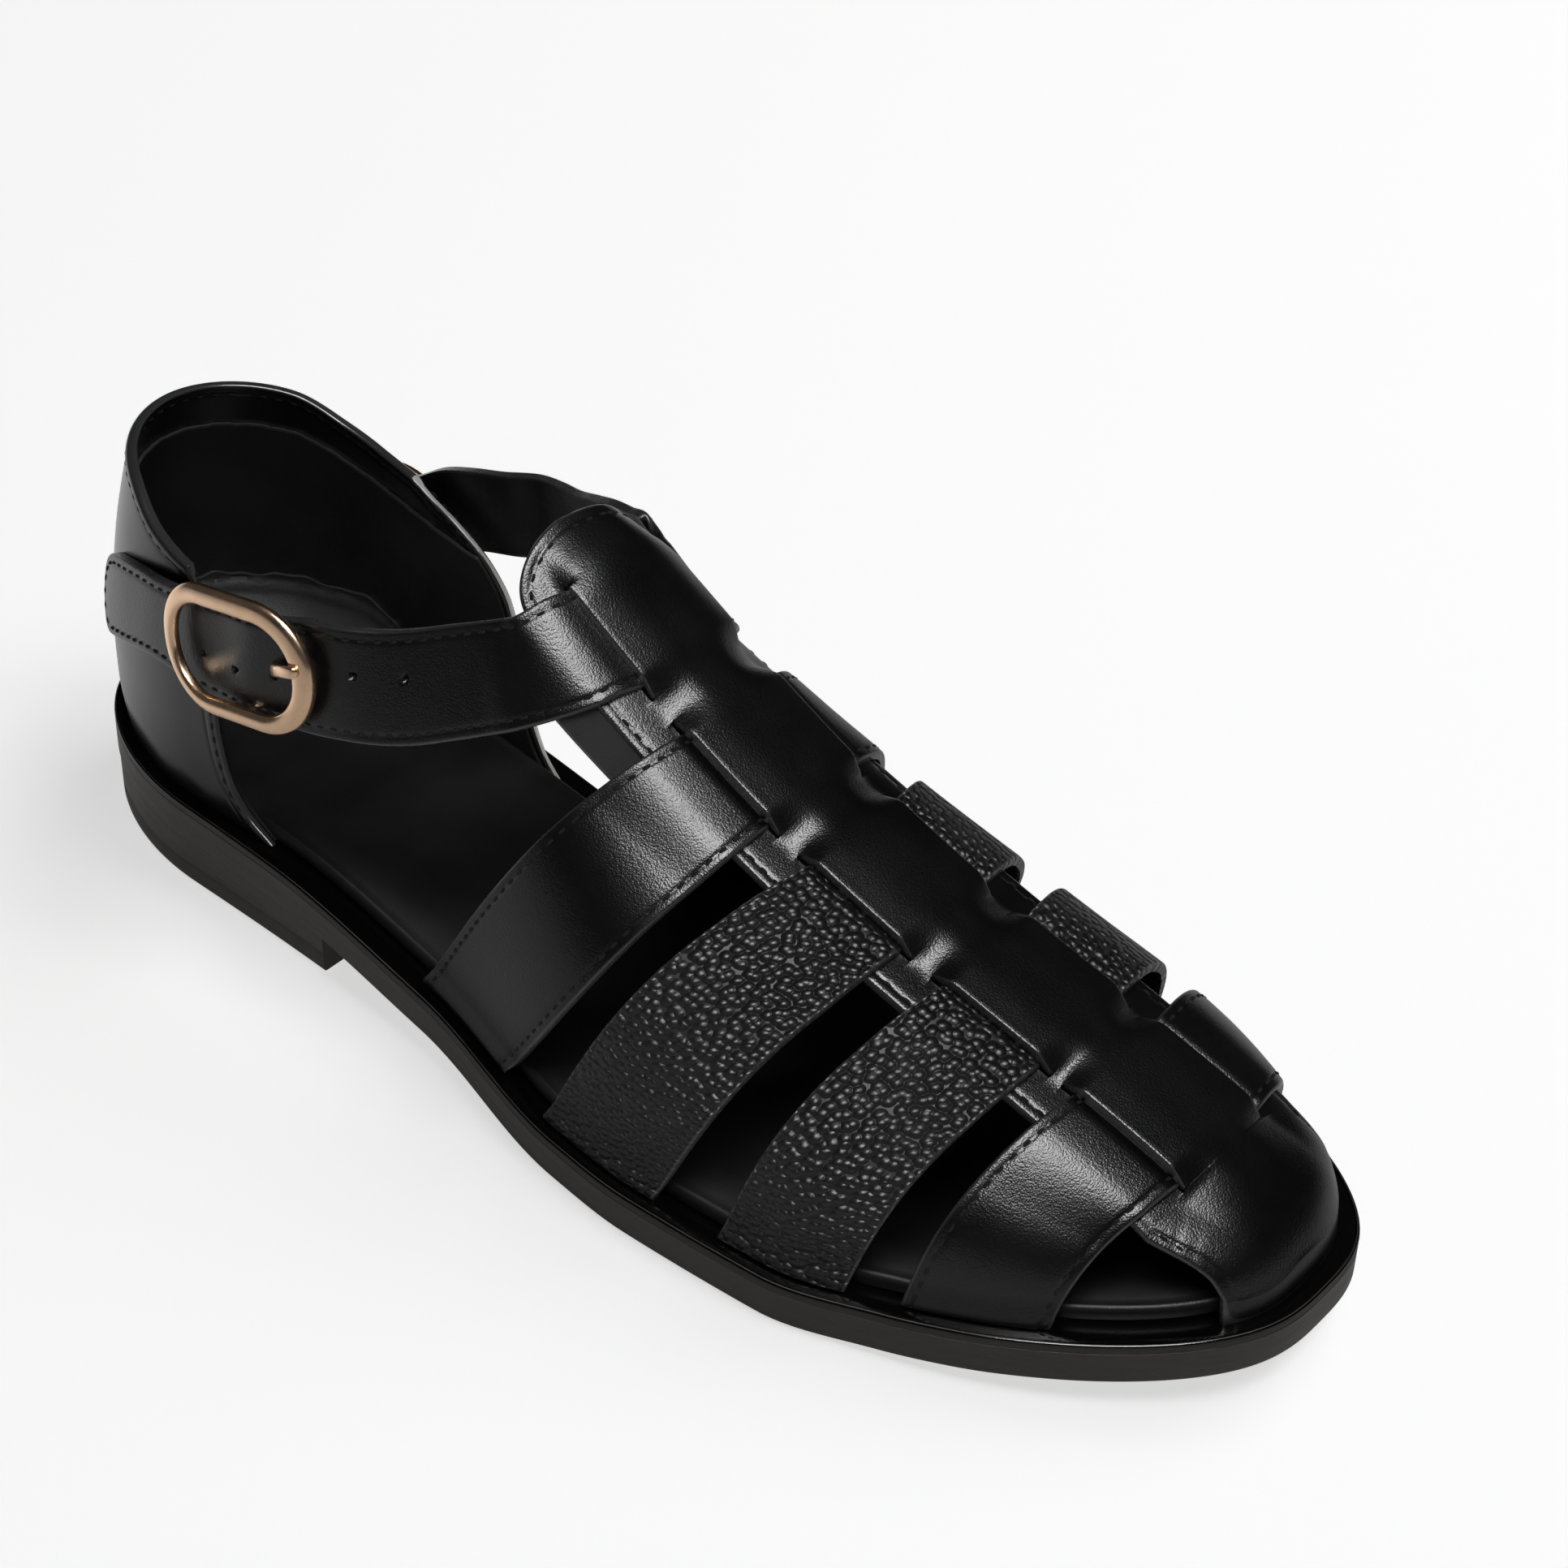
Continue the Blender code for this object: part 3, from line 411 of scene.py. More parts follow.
def half_outline(x, side, heel_inset, side_inset, toe_inset):
    """y of the outline: the half width, closed by a circle at the heel and a squared curve at the
    toe. side is one side or one for each point."""
    back = np.clip((HEEL_ROUND - x) / (HEEL_ROUND - heel_inset), 0, 1)
    front = np.clip((x - LENGTH + TOE_ROUND) / (TOE_ROUND - toe_inset), 0, 1)
    closing = np.sqrt(1 - back ** 2) * (1 - front ** 2) ** (1 / TOE_POWER)
    return swing(x) + side * (sided(SOLE, "", side, x) - side_inset) * closing


def rim_outline(x, side, extra=0.0):
    """y of the line where the upper's outer face meets the welt, moved inward by extra."""
    rim = smooth(SOLE, "rim", x)
    return half_outline(x, side, SOLE["rim"][0] + extra, rim + extra, SOLE["rim"][-1] + extra)


def sole_top(x):
    """Height of the sole's upper face, over its arch and toe spring."""
    return smooth(SOLE, "top", x)


def last_point(x, y):
    """Point of the last above x, y, on a superellipse from the ridge to the rim, and its normal."""
    def relief(px, py):
        ridge = smooth(LAST, "ridge_y", px)
        side = both(py < ridge, LATERAL, MEDIAL)
        base = sole_top(px)
        return (ridge, rim_outline(px, side, STRAP_WALL), sided(LAST, "_power", side, px), base,
                smooth(LAST, "ridge_z", px) - base)

    def level(px, py, pz):
        ridge, edge, power, base, rise = relief(px, py)
        across = np.abs((py - ridge) / (edge - ridge))
        return across ** power + (np.maximum(pz - base, 0) / rise) ** power

    ridge, edge, power, base, rise = relief(x, y)
    across = np.clip(np.abs((y - ridge) / (edge - ridge)), 0, 1)
    z = base + rise * arc(across, power)
    d = 0.05  # step of the slope, in millimetres
    normal = np.stack([level(x + d, y, z) - level(x - d, y, z),
                       level(x, y + d, z) - level(x, y - d, z),
                       level(x, y, z + d) - level(x, y, z - d)], -1)
    return np.stack([x, y, z], -1), unit(normal)


def unit(vectors):
    """Vectors of length 1."""
    return vectors / np.maximum(np.linalg.norm(vectors, axis=-1, keepdims=True), 1e-9)


def section(x, side):
    """y round one half of the last's section at each x, with the distance run from the ridge."""
    x = np.asarray(x, float)[..., None]
    ridge = smooth(LAST, "ridge_y", x)
    edge = rim_outline(x, side, STRAP_WALL)
    power = smooth(LAST, SIDES[side] + "_power", x)
    turn = np.linspace(0, math.pi / 2, 161)
    y = ridge + (edge - ridge) * np.sin(turn) ** (2 / power)
    z = (smooth(LAST, "ridge_z", x) - sole_top(x)) * np.cos(turn) ** (2 / power)
    steps = np.hypot(np.diff(y), np.diff(z))
    run = np.concatenate([np.zeros_like(x), np.cumsum(steps, -1)], -1)
    return y, run


def read_at(run, values, goal):
    """Read values against run at the goal, one table for every point, by straight lines."""
    k = np.clip((run <= goal[..., None]).sum(-1) - 1, 0, run.shape[-1] - 2)[..., None]

    def pick(rows, i):
        return np.take_along_axis(rows, i, -1)[..., 0]

    share = (goal - pick(run, k)) / np.maximum(pick(run, k + 1) - pick(run, k), 1e-9)
    return pick(values, k) + np.clip(share, 0, 1) * (pick(values, k + 1) - pick(values, k))


def across_ridge(x, distance):
    """y at a distance round the section from the ridge, lateral negative."""
    x, distance = np.broadcast_arrays(np.asarray(x, float), np.asarray(distance, float))
    ends = []
    for side in SIDES:
        y, run = section(x, side)
        ends.append(read_at(run, y, np.abs(distance)))
    return both(distance < 0, *ends)


def down_side(x, side, share):
    """y a share of the way from the strip's edge down to the welt, by distance."""
    y, run = section(x, side)
    return read_at(run, y, STRIP_HALF + (run[..., -1] - STRIP_HALF) * share)


def outside_counter(x, z, side, extra):
    """y of a surface parallel to the counter's outer face, at a given x and z."""
    height = z - sole_top(x)
    back = SOLE["rim"][0] + smooth(LEAN, "back", height) - extra
    inset = smooth(SOLE, "rim", x) + smooth(LEAN, "side", height) - extra
    return half_outline(x, side, back, inset, 0.0)


def leaving_counter(at):
    """0 where the band follows the counter and 1 where it runs free."""
    return ease((at - ON_COUNTER) / (OFF_COUNTER - ON_COUNTER))


def band_point(side, at, share):
    """Point of a band's middle surface; share is 0 on its top edge and 1 on its low edge."""
    rows = BAND[side]
    at, share = np.broadcast_arrays(np.asarray(at, float), np.asarray(share, float))
    free = leaving_counter(at)
    lift = smooth(rows, "lift", at)
    ends = []
    for edge in ("top", "low"):
        x, z = smooth(rows, edge + "_x", at), smooth(rows, edge + "_z", at)
        follow = outside_counter(x, z, side, lift)
        y = smooth(rows, edge + "_y", np.maximum(at, OFF_COUNTER))
        ends.append(np.stack([x, follow + (y - follow) * free, z], -1))
    point = ends[0] + (ends[1] - ends[0]) * share[..., None]
    follow = outside_counter(point[..., 0], point[..., 2], side, lift)
    point[..., 1] = follow + (point[..., 1] - follow) * free
    return point


def buckle_axes(side):
    """Middle of a buckle on its band, and unit vectors forward, up and outward."""
    at = BUCKLE_AT[side]
    half = FRAME_LONG / 2
    middle = band_point(side, at, 0.5)
    forward = unit(band_point(side, at + half, 0.5) - band_point(side, at - half, 0.5))
    up = band_point(side, at, 0.0) - band_point(side, at, 1.0)
    up = unit(up - forward * np.dot(up, forward))
    outward = np.cross(forward, up)
    return middle, forward, up, outward * np.sign(outward[1] * side)


def shoe_origin():
    """The point that becomes the origin: on the floor under the middle of the outsole's box."""
    x = np.linspace(0, LENGTH, 571)
    low = half_outline(x, LATERAL, 0, 0, 0).min()
    high = half_outline(x, MEDIAL, 0, 0, 0).max()
    return np.array([LENGTH / 2, (low + high) / 2, 0.0])


ORIGIN = shoe_origin()
LEVEL = np.array([1.0, 1.0, 0.0])  # takes the rise out of a direction


# ---------------------------------------------------------------- meshes from whole arrays

def add_mesh(name, points, faces, materials, slot, replaces=(), panel=None, second=None, angle=42):
    """One piece from shoe millimetres. faces is one array or several, four or three sided.
    panel holds millimetres along, across and from the cut edge, for patterns that follow it."""
    faces = faces if isinstance(faces, list) else [faces]
    mesh = bpy.data.meshes.new(name)
    placed = (np.asarray(points, float).reshape(-1, 3) - ORIGIN) * MM
    sizes = np.concatenate([np.full(len(f), f.shape[1]) for f in faces])
    loops = np.concatenate([f.ravel() for f in faces])
    mesh.vertices.add(len(placed))
    mesh.vertices.foreach_set("co", placed.astype(np.float32).ravel())
    mesh.loops.add(len(loops))
    mesh.loops.foreach_set("vertex_index", loops.astype(np.int32))
    mesh.polygons.add(len(sizes))
    starts = np.concatenate([[0], np.cumsum(sizes)[:-1]])
    mesh.polygons.foreach_set("loop_start", starts.astype(np.int32))
    mesh.polygons.foreach_set("loop_total", sizes.astype(np.int32))
    if second is not None:
        mesh.polygons.foreach_set("material_index", second.astype(np.int32))
    mesh.update(calc_edges=True)
    if panel is not None:
        held = mesh.attributes.new("panel", "FLOAT_VECTOR", "POINT")
        held.data.foreach_set("vector", np.asarray(panel, np.float32).ravel())
    mesh.validate()
    shell = bmesh.new()
    shell.from_mesh(mesh)
    bmesh.ops.recalc_face_normals(shell, faces=shell.faces)
    shell.to_mesh(mesh)
    shell.free()
    for material in materials:
        mesh.materials.append(material)
    mesh.shade_smooth()
    mesh.set_sharp_from_angle(angle=math.radians(angle))
    piece = bpy.data.objects.new(name, mesh)
    bpy.context.scene.collection.objects.link(piece)
    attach(piece, "root")
    if replaces:
        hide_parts(*replaces)
    return piece


def grid_faces(rows, columns, start=0, wrap=False):
    """Four sided faces of a grid of points, joined round the columns if asked."""
    i = np.arange(rows - 1)[:, None]
    j = np.arange(columns if wrap else columns - 1)[None, :]
    after = (j + 1) % columns
    quads = np.stack([i * columns + j, i * columns + after, (i + 1) * columns + after,
                      (i + 1) * columns + j], -1)
    return quads.reshape(-1, 4) + start


def shell_faces(rows, columns):
    """Faces of a closed sheet: an outer grid, an inner grid after it and a wall round both."""
    count = rows * columns
    outer = grid_faces(rows, columns)
    inner = outer[:, ::-1] + count
    index = np.arange(count).reshape(rows, columns)
    rim = np.concatenate([index[0], index[1:, -1], index[-1, -2::-1], index[-2:0:-1, 0]])
    after = np.roll(rim, -1)
    wall = np.stack([rim, after, after + count, rim + count], -1)
    return np.concatenate([outer, inner, wall])


def rim_distance(points, rims):
    """Shortest distance from each point to the cut edges, which are lines of points."""
    flat = points.reshape(-1, 3)
    best = np.full(len(flat), 1e9)
    for rim in rims:
        start, run = rim[:-1], np.diff(rim, axis=0)
        for k in range(0, len(start), 24):
            s, r = start[k:k + 24], run[k:k + 24]
            along = ((flat[:, None] - s) * r).sum(-1) / np.maximum((r * r).sum(-1), 1e-9)
            near = s + np.clip(along, 0, 1)[..., None] * r
            best = np.minimum(best, np.linalg.norm(flat[:, None] - near, axis=-1).min(1))
    return best.reshape(points.shape[:-1])


def scene_sizes():
    return bpy.context.scene.sandal_sizes


def edge_drop(distance, stitched=True):
    """How far the leather lies below its full height near a cut edge: a quarter circle over the
    edge, a faint fall toward it, and a narrow trough under the stitches."""
    drop = rolled(distance, scene_sizes().edge_round)
    if stitched:
        drop = drop + STITCH_TROUGH * hump(distance, scene_sizes().stitch_inset, TROUGH_WIDTH)
        drop = drop + EDGE_FALL[0] * (1 - ease(distance / EDGE_FALL[1]))
    return drop


def across_lines(width, count):
    """Shares across a panel for each width, close together at both edges and even between."""
    width = np.atleast_1d(width)[:, None]
    edge = EDGE_LINES[None, :] * np.minimum(1, width / (2.6 * EDGE_LINES[-1]))
    even = np.linspace(0, 1, count)[None, 1:-1]
    middle = edge[:, -1:] + (width - 2 * edge[:, -1:]) * even
    return np.concatenate([edge, middle, width - edge[:, ::-1]], 1) / width


def run_of(points, axis=0):
    """Distance run along an axis of a grid of points."""
    step = np.linalg.norm(np.diff(points, axis=axis), axis=-1)
    return np.concatenate([np.zeros_like(np.take(step, [0], axis)), np.cumsum(step, axis)], axis)


def foot_flare(base, foot):
    """Rise of a panel near its foot, where it turns out onto the welt."""
    return FOOT_FLARE * (1 - ease(rim_distance(base, [foot]) / FOOT_RUN))


def add_sheet(name, outer, inner, materials, slot, base=None, distance=None, **options):
    """A closed sheet between two grids. With a base grid and its distance from the cut edges it
    gets its panel attribute, which also runs along and across the base."""
    if base is not None:
        along = np.broadcast_to(run_of(base).mean(1, keepdims=True), distance.shape)
        panel = np.stack([along, run_of(base, 1), distance], -1)
        options["panel"] = np.stack([panel, panel])
    return add_mesh(name, np.stack([outer, inner]), shell_faces(*outer.shape[:2]), materials, slot,
                    **options)


def leather_panel(name, base, normal, top, bottom, rims, material, stitched=True, feet=(),
                  dyed_and_highlit_edge=None, slot="smooth_leather", **options):
    """A closed sheet of leather: the base surface raised along its normal to the top height, less
    what the cut edges lose, with the flesh side at the bottom height. feet are edges with no row
    of stitches beside them."""
    distance = rim_distance(base, rims)
    drop = edge_drop(distance, stitched)
    if feet:
        foot = rim_distance(base, feet)
        drop = np.maximum(drop, edge_drop(foot, False))
        distance = np.minimum(distance, foot)
    # More cut edge to paint lighter: partly edge dye, partly a painted highlight.
    if dyed_and_highlit_edge is not None:
        distance = np.minimum(distance, dyed_and_highlit_edge)
    outer = base + normal * (top - drop)[..., None]
    inner = base + normal * np.broadcast_to(bottom, base.shape[:-1])[..., None]
    return add_sheet(name, outer, inner, [material], slot, base, distance, **options)


def resample(path, normals, pitch):
    """Evenly spaced points, directions and normals along a line of points."""
    run = run_of(path)
    count = max(int(run[-1] / pitch), 1)
    at = (np.arange(count) + 0.5) * run[-1] / count

    def read(rows, where):
        return np.stack([np.interp(where, run, rows[:, k]) for k in range(3)], -1)

    ahead = unit(read(path, at + 0.4) - read(path, at - 0.4))
    return read(path, at), ahead, unit(read(normals, at))


def circle(count):
    """Angles evenly round a circle, in radians."""
    return np.linspace(0, 2 * math.pi, count + 1)[:-1]


def add_stitches(name, lines, material):
    """A row of stitches along each line of points and normals: small rounded lozenges, lifted at
    the middle and sunk at both ends. All of them are one mesh."""
    sizes = scene_sizes()
    ring = circle(6)
    along = np.array([-1.0, -0.86, -0.45, 0.0, 0.45, 0.86, 1.0]) * sizes.stitch_length / 2
    girth = np.array([0.25, 0.72, 1.0, 1.0, 1.0, 0.72, 0.25])
    lift = np.array([-0.20, -0.04, 0.07, 0.11, 0.07, -0.04, -0.20])
    half = sizes.stitch_width / 2
    shape = np.stack([
        np.broadcast_to(along[:, None], (7, 6)),
        girth[:, None] * np.cos(ring)[None] * half,
        lift[:, None] + girth[:, None] * np.sin(ring)[None] * half * 0.7,
    ], -1)
    points = []
    for path, normals in lines:
        spot, ahead, out = resample(path, normals, sizes.stitch_pitch)
        axes = np.stack([ahead, unit(np.cross(out, ahead)), out], 1)
        points.append(spot[:, None, None] + np.einsum("rkc,ncd->nrkd", shape, axes))
    points = np.concatenate(points)
    caps = np.array([[0, 1, 2, 3], [0, 3, 4, 5], [36, 37, 38, 39], [36, 39, 40, 41]])
    faces = np.concatenate([grid_faces(7, 6, wrap=True), caps])
    faces = (faces + (np.arange(len(points)) * 42)[:, None, None]).reshape(-1, 4)
    add_mesh(name, points, faces, [material], "smooth_leather", angle=60)


def tube(path, across, profile):
    """Rings of a profile, as pairs across and out, carried along a path; across stays fixed."""
    path = np.asarray(path, float)
    ahead = unit(np.gradient(path, axis=0))
    out = unit(np.cross(ahead, across))
    profile = np.asarray(profile)
    if profile.ndim == 2:
        profile = np.broadcast_to(profile, (len(path), *profile.shape))
    return (path[:, None] + profile[..., :1] * np.asarray(across)
            + profile[..., 1:] * out[:, None])


def capped(rows, columns):
    """Faces of a tube whose two ends are closed by fans of three sided faces."""
    quads = grid_faces(rows, columns, wrap=True)
    k = np.arange(1, columns - 1)
    first = np.stack([0 * k, k + 1, k], -1)
    last = np.stack([0 * k, k, k + 1], -1) + (rows - 1) * columns
    return [quads, np.concatenate([first, last])]


# ---------------------------------------------------------------- materials

def feed(socket, value):
    """Links an output to a socket, or sets its number, vector or colour."""
    if isinstance(value, bpy.types.NodeSocket):
        socket.id_data.links.new(value, socket)
    else:
        socket.default_value = (*value, 1.0) if socket.type == "RGBA" else value


def put(tree, kind, **values):
    """A node of a kind. A name with in_ before it is a socket, by its place or name, and takes
    what feed takes; any other is a setting."""
    made = tree.nodes.new("ShaderNode" + kind)
    for key, value in values.items():
        if key.startswith("in_"):
            label = key[3:].replace("_", " ")
            feed(made.inputs[int(label) if label.isdigit() else label], value)
        else:
            setattr(made, key, value)
    return made


def math_node(tree, operation, first, second, clamp=False):
    return put(tree, "Math", operation=operation, use_clamp=clamp, in_0=first,
               in_1=second).outputs[0]


def times(tree, first, second):
    return math_node(tree, "MULTIPLY", first, second)


def ranged(tree, value, low, high, to_low, to_high):
    """A smooth Map Range node from low..high to to_low..to_high."""
    made = put(tree, "MapRange", interpolation_type="SMOOTHSTEP", in_Value=value, in_From_Min=low,
               in_From_Max=high, in_To_Min=to_low, in_To_Max=to_high)
    return made.outputs["Result"]


def noise(tree, vector, scale, detail=2.0, rough=0.5):
    return put(tree, "TexNoise", in_Vector=vector, in_Scale=scale, in_Detail=detail,
               in_Roughness=rough).outputs["Fac"]


def blended(tree, factor, first, second):
    """A colour between two, by a factor; each is an output or three numbers."""
    made = put(tree, "Mix", data_type="RGBA", in_Factor=factor)
    colours = [socket for socket in made.inputs if socket.type == "RGBA"]
    for socket, value in zip(colours, (first, second)):
        feed(socket, value)
    return next(socket for socket in made.outputs if socket.type == "RGBA")


def scaled(colour, factor):
    return tuple(c * factor for c in colour)


def bumped(tree, height, distance, before=None):
    """A Bump node over a height, in metres of relief, laid over an earlier normal if given."""
    made = put(tree, "Bump", in_Strength=1.0, in_Distance=distance, in_Height=height)
    if before is not None:
        feed(made.inputs["Normal"], before)
    return made.outputs["Normal"]


def split(tree, vector):
    return put(tree, "SeparateXYZ", in_0=vector).outputs


def effect_group(name, inputs, outputs):
    """An empty node group. inputs are names with a default number, or None for a vector; all
    outputs are numbers. Gives the tree, what comes in and what goes out."""
    tree = bpy.data.node_groups.new(name, "ShaderNodeTree")
    for label, value in inputs.items():
        kind = "NodeSocketVector" if value is None else "NodeSocketFloat"
        socket = tree.interface.new_socket(name=label, in_out="INPUT", socket_type=kind)
        if value is not None:
            socket.default_value = value
    for label in outputs:
        tree.interface.new_socket(name=label, in_out="OUTPUT", socket_type="NodeSocketFloat")
    return tree, tree.nodes.new("NodeGroupInput").outputs, tree.nodes.new("NodeGroupOutput").inputs


def effect(tree, name, **values):
    """Outputs of a shared effect, placed in a material with its own values."""
    return put(tree, "Group", node_tree=bpy.data.node_groups[name], **values).outputs


def fine_grain_group():
    """Fine leather grain: small rounded cells with their valleys, broken by a finer noise, and a
    slow cloud for uneven dye and polish."""
    tree, given, made = effect_group(
        "fine grain", {"Vector": None, "Cells": 2400.0, "Cloud size": 45.0}, ("Height", "Cloud"))
    cells = put(tree, "TexVoronoi", feature="F1", in_Vector=given["Vector"],
                in_Scale=given["Cells"], in_Randomness=1.0).outputs["Distance"]
    grit = noise(tree, given["Vector"], times(tree, given["Cells"], 0.55), 3.0, 0.6)
    feed(made["Height"],
         math_node(tree, "SUBTRACT", times(tree, grit, 0.9), times(tree, cells, 0.8)))
    feed(made["Cloud"], noise(tree, given["Vector"], given["Cloud size"], 3.0, 0.55))


def pebble_group():
    """Coarse pebbled grain: domes round scattered points, each a little warped, with valleys."""
    tree, given, made = effect_group("pebble grain", {"Vector": None, "Pebble": 1.9},
                                     ("Height", "Valley"))
    warp = put(tree, "TexNoise", in_Vector=given["Vector"], in_Scale=0.45, in_Detail=2.0)
    shift = put(tree, "VectorMath", operation="MULTIPLY_ADD", in_0=warp.outputs["Color"],
                in_1=(0.5, 0.5, 0.0), in_2=given["Vector"])
    far = put(tree, "TexVoronoi", voronoi_dimensions="2D", feature="SMOOTH_F1",
              in_Vector=shift.outputs[0], in_Scale=math_node(tree, "DIVIDE", 1.0, given["Pebble"]),
              in_Randomness=0.72, in_Smoothness=0.12).outputs["Distance"]
    dome = times(tree, times(tree, far, far), 1.9)
    feed(made["Height"], math_node(tree, "SUBTRACT", 1.0, dome, True))
    feed(made["Valley"], ranged(tree, far, 0.42, 0.75, 0.0, 1.0))


def cut_edge_group():
    """Where a panel's cut edge is, from the distance that its panel attribute holds."""
    tree, given, made = effect_group("cut edge", {"Distance": 9.0, "Reach": 0.7}, ("Edge",))
    share = math_node(tree, "DIVIDE", given["Distance"], given["Reach"])
    feed(made["Edge"], ranged(tree, share, 0.35, 1.0, 1.0, 0.0))


def new_material(name):
    """A material, its tree and its object coordinates."""
    material = bpy.data.materials.new(name)
    material.use_nodes = True
    tree = material.node_tree
    return material, tree, put(tree, "TexCoord").outputs["Object"]


def finished(material, **values):
    """The material, once its shader's sockets are fed."""
    shader = material.node_tree.nodes["Principled BSDF"]
    for key, value in values.items():
        feed(shader.inputs[key.replace("_", " ")], value)
    return material


def make_leather(name, colour, rough, relief=0.00002, uneven=0.10, edges=True, pebbled=False,
                 edge_dye_and_highlight=14.0, specular=0.5):
    """Finished leather: dyed colour with a slow cloud, fine grain, and cut edges painted lighter,
    partly edge dye and partly a painted highlight. The pebbled kind adds a coarse embossed grain
    with glossy domes and duller valleys, painted darker as painted shade."""
    sizes = scene_sizes()
    material, tree, place = new_material(name)
    grain = effect(tree, "fine grain", in_Vector=place, in_Cells=1.0 / (sizes.pore * MM))
    tint = blended(tree, ranged(tree, grain["Cloud"], 0.3, 0.7, 0.0, 1.0),
                   scaled(colour, 1 - 2 * uneven), scaled(colour, 1 + 3 * uneven))
    gloss = ranged(tree, grain["Cloud"], 0.25, 0.75, rough * (1 - uneven), rough * (1 + uneven))
    normal = None
    if edges or pebbled:
        panel = put(tree, "Attribute", attribute_name="panel").outputs["Vector"]
    if pebbled:
        pebble = effect(tree, "pebble grain", in_Vector=panel, in_Pebble=sizes.pebble)
        # Valleys painted darker: painted shade in the recesses between pebbles. Their added
        # roughness below is real.
        tint = blended(tree, pebble["Valley"], tint, scaled(colour, 0.7))
        gloss = math_node(tree, "ADD", gloss, times(tree, pebble["Valley"], 0.15))
        normal = bumped(tree, pebble["Height"], 0.00072)
    if edges:
        edge = effect(tree, "cut edge", in_Distance=split(tree, panel)["Z"])["Edge"]
        # Cut edges painted lighter: partly edge dye, partly a painted highlight where light would
        # catch the rounded edge.
        tint = blended(tree, edge, tint, scaled(colour, edge_dye_and_highlight))
        gloss = math_node(tree, "SUBTRACT", gloss, times(tree, edge, 0.04))
    return finished(material, Base_Color=tint, Roughness=gloss, Specular_IOR_Level=specular,
                    Normal=bumped(tree, grain["Height"], relief, normal))


def make_sole_edge(name, colour):
    """Trimmed and burnished leather edge: faint level streaks of the layers over a fine tooth, and
    a painted light: a paler tone toward the heel, where more light falls on its side."""
    material, tree, place = new_material(name)
    flat = put(tree, "Mapping", in_Vector=place, in_Scale=(1.0, 1.0, 9.0)).outputs[0]
    streak = noise(tree, flat, 95.0, 4.0, 0.55)
    tint = blended(tree, ranged(tree, streak, 0.3, 0.7, 0.0, 1.0), scaled(colour, 0.82),
                   scaled(colour, 1.22))
    heel_painted_light = ranged(tree, split(tree, place)["X"], *HEEL_PAINTED_LIGHT, 1.0, 0.0)
    tooth = bumped(tree, noise(tree, place, 1500.0), 0.00004)
    return finished(material, Base_Color=blended(tree, heel_painted_light, tint, scaled(colour, 1.7)),
                    Roughness=ranged(tree, streak, 0.3, 0.7, 0.40, 0.50),
                    Normal=bumped(tree, streak, 0.00008, tooth))


def make_metal(name, colour):
    """Plated rose gold: polished, with a soft orange peel and slightly deeper tint in patches."""
    material, tree, place = new_material(name)
    cloud = noise(tree, place, 260.0, 3.0)
    deeper = tuple(c * f for c, f in zip(colour, (0.97, 0.93, 0.88)))
    tint = blended(tree, ranged(tree, cloud, 0.35, 0.65, 0.0, 1.0), colour, deeper)
    return finished(material, Base_Color=tint, Normal=bumped(tree, cloud, 0.00002), Metallic=1.0,
                    Roughness=ranged(tree, cloud, 0.3, 0.7, 0.22, 0.28))


def make_thread(name, colour):
    """Waxed thread, mottled by its twist."""
    material, tree, place = new_material(name)
    twist = noise(tree, place, 3200.0, 1.0)
    tint = blended(tree, twist, scaled(colour, 0.7), scaled(colour, 1.3))
    return finished(material, Base_Color=tint, Normal=bumped(tree, twist, 0.00008), Roughness=0.9,
                    Specular_IOR_Level=0.15)


def finishes():
    """Every material of the sandal by its plain name, made once. The plain names are the keys that
    the operators read."""
    if "upper leather" not in bpy.data.materials:
        fine_grain_group()
        pebble_group()
        cut_edge_group()
        colours = bpy.context.scene.sandal_colours
        leather, lining, sole = (tuple(colours.leather), tuple(colours.lining), tuple(colours.sole))
        make_leather("upper leather", leather, 0.30, 0.00005)
        make_leather("pebbled leather", leather, 0.43, 0.00001, pebbled=True, specular=0.6)
        make_leather("counter leather", leather, 0.26, 0.00001, uneven=0.06)
        make_leather("welt top", leather, 0.13, 0.00001, edges=False)
        make_leather("sock leather", lining, 0.50, edges=False, specular=0.3)
        make_leather("heel sock leather", scaled(lining, 3.6), 0.55, 0.00003, edges=False)
        make_leather("lining leather", lining, 0.55, 0.00004, specular=0.3, edge_dye_and_highlight=6.0)
        make_leather("flesh side", scaled(lining, 4.0), 0.85, 0.00008, specular=0.2, edge_dye_and_highlight=2.4)
        # Near-white collar edge: partly the raw leather edge, partly a painted highlight along it.
        make_leather("raw edge", (0.75, 0.74, 0.72), 0.6, edges=False)
        make_sole_edge("sole edge", sole)
        make_leather("sole bottom", scaled(sole, 1.6), 0.62, 0.00008, edges=False)
        make_metal("rose gold", tuple(colours.metal))
        make_thread("thread", (0.020, 0.020, 0.020))
    return {m.name: m for m in bpy.data.materials}


# ---------------------------------------------------------------- sole

def spread(count):
    """Shares from 0 to 1, closer together at both ends."""
    return (1 - np.cos(np.linspace(0, math.pi, count))) / 2


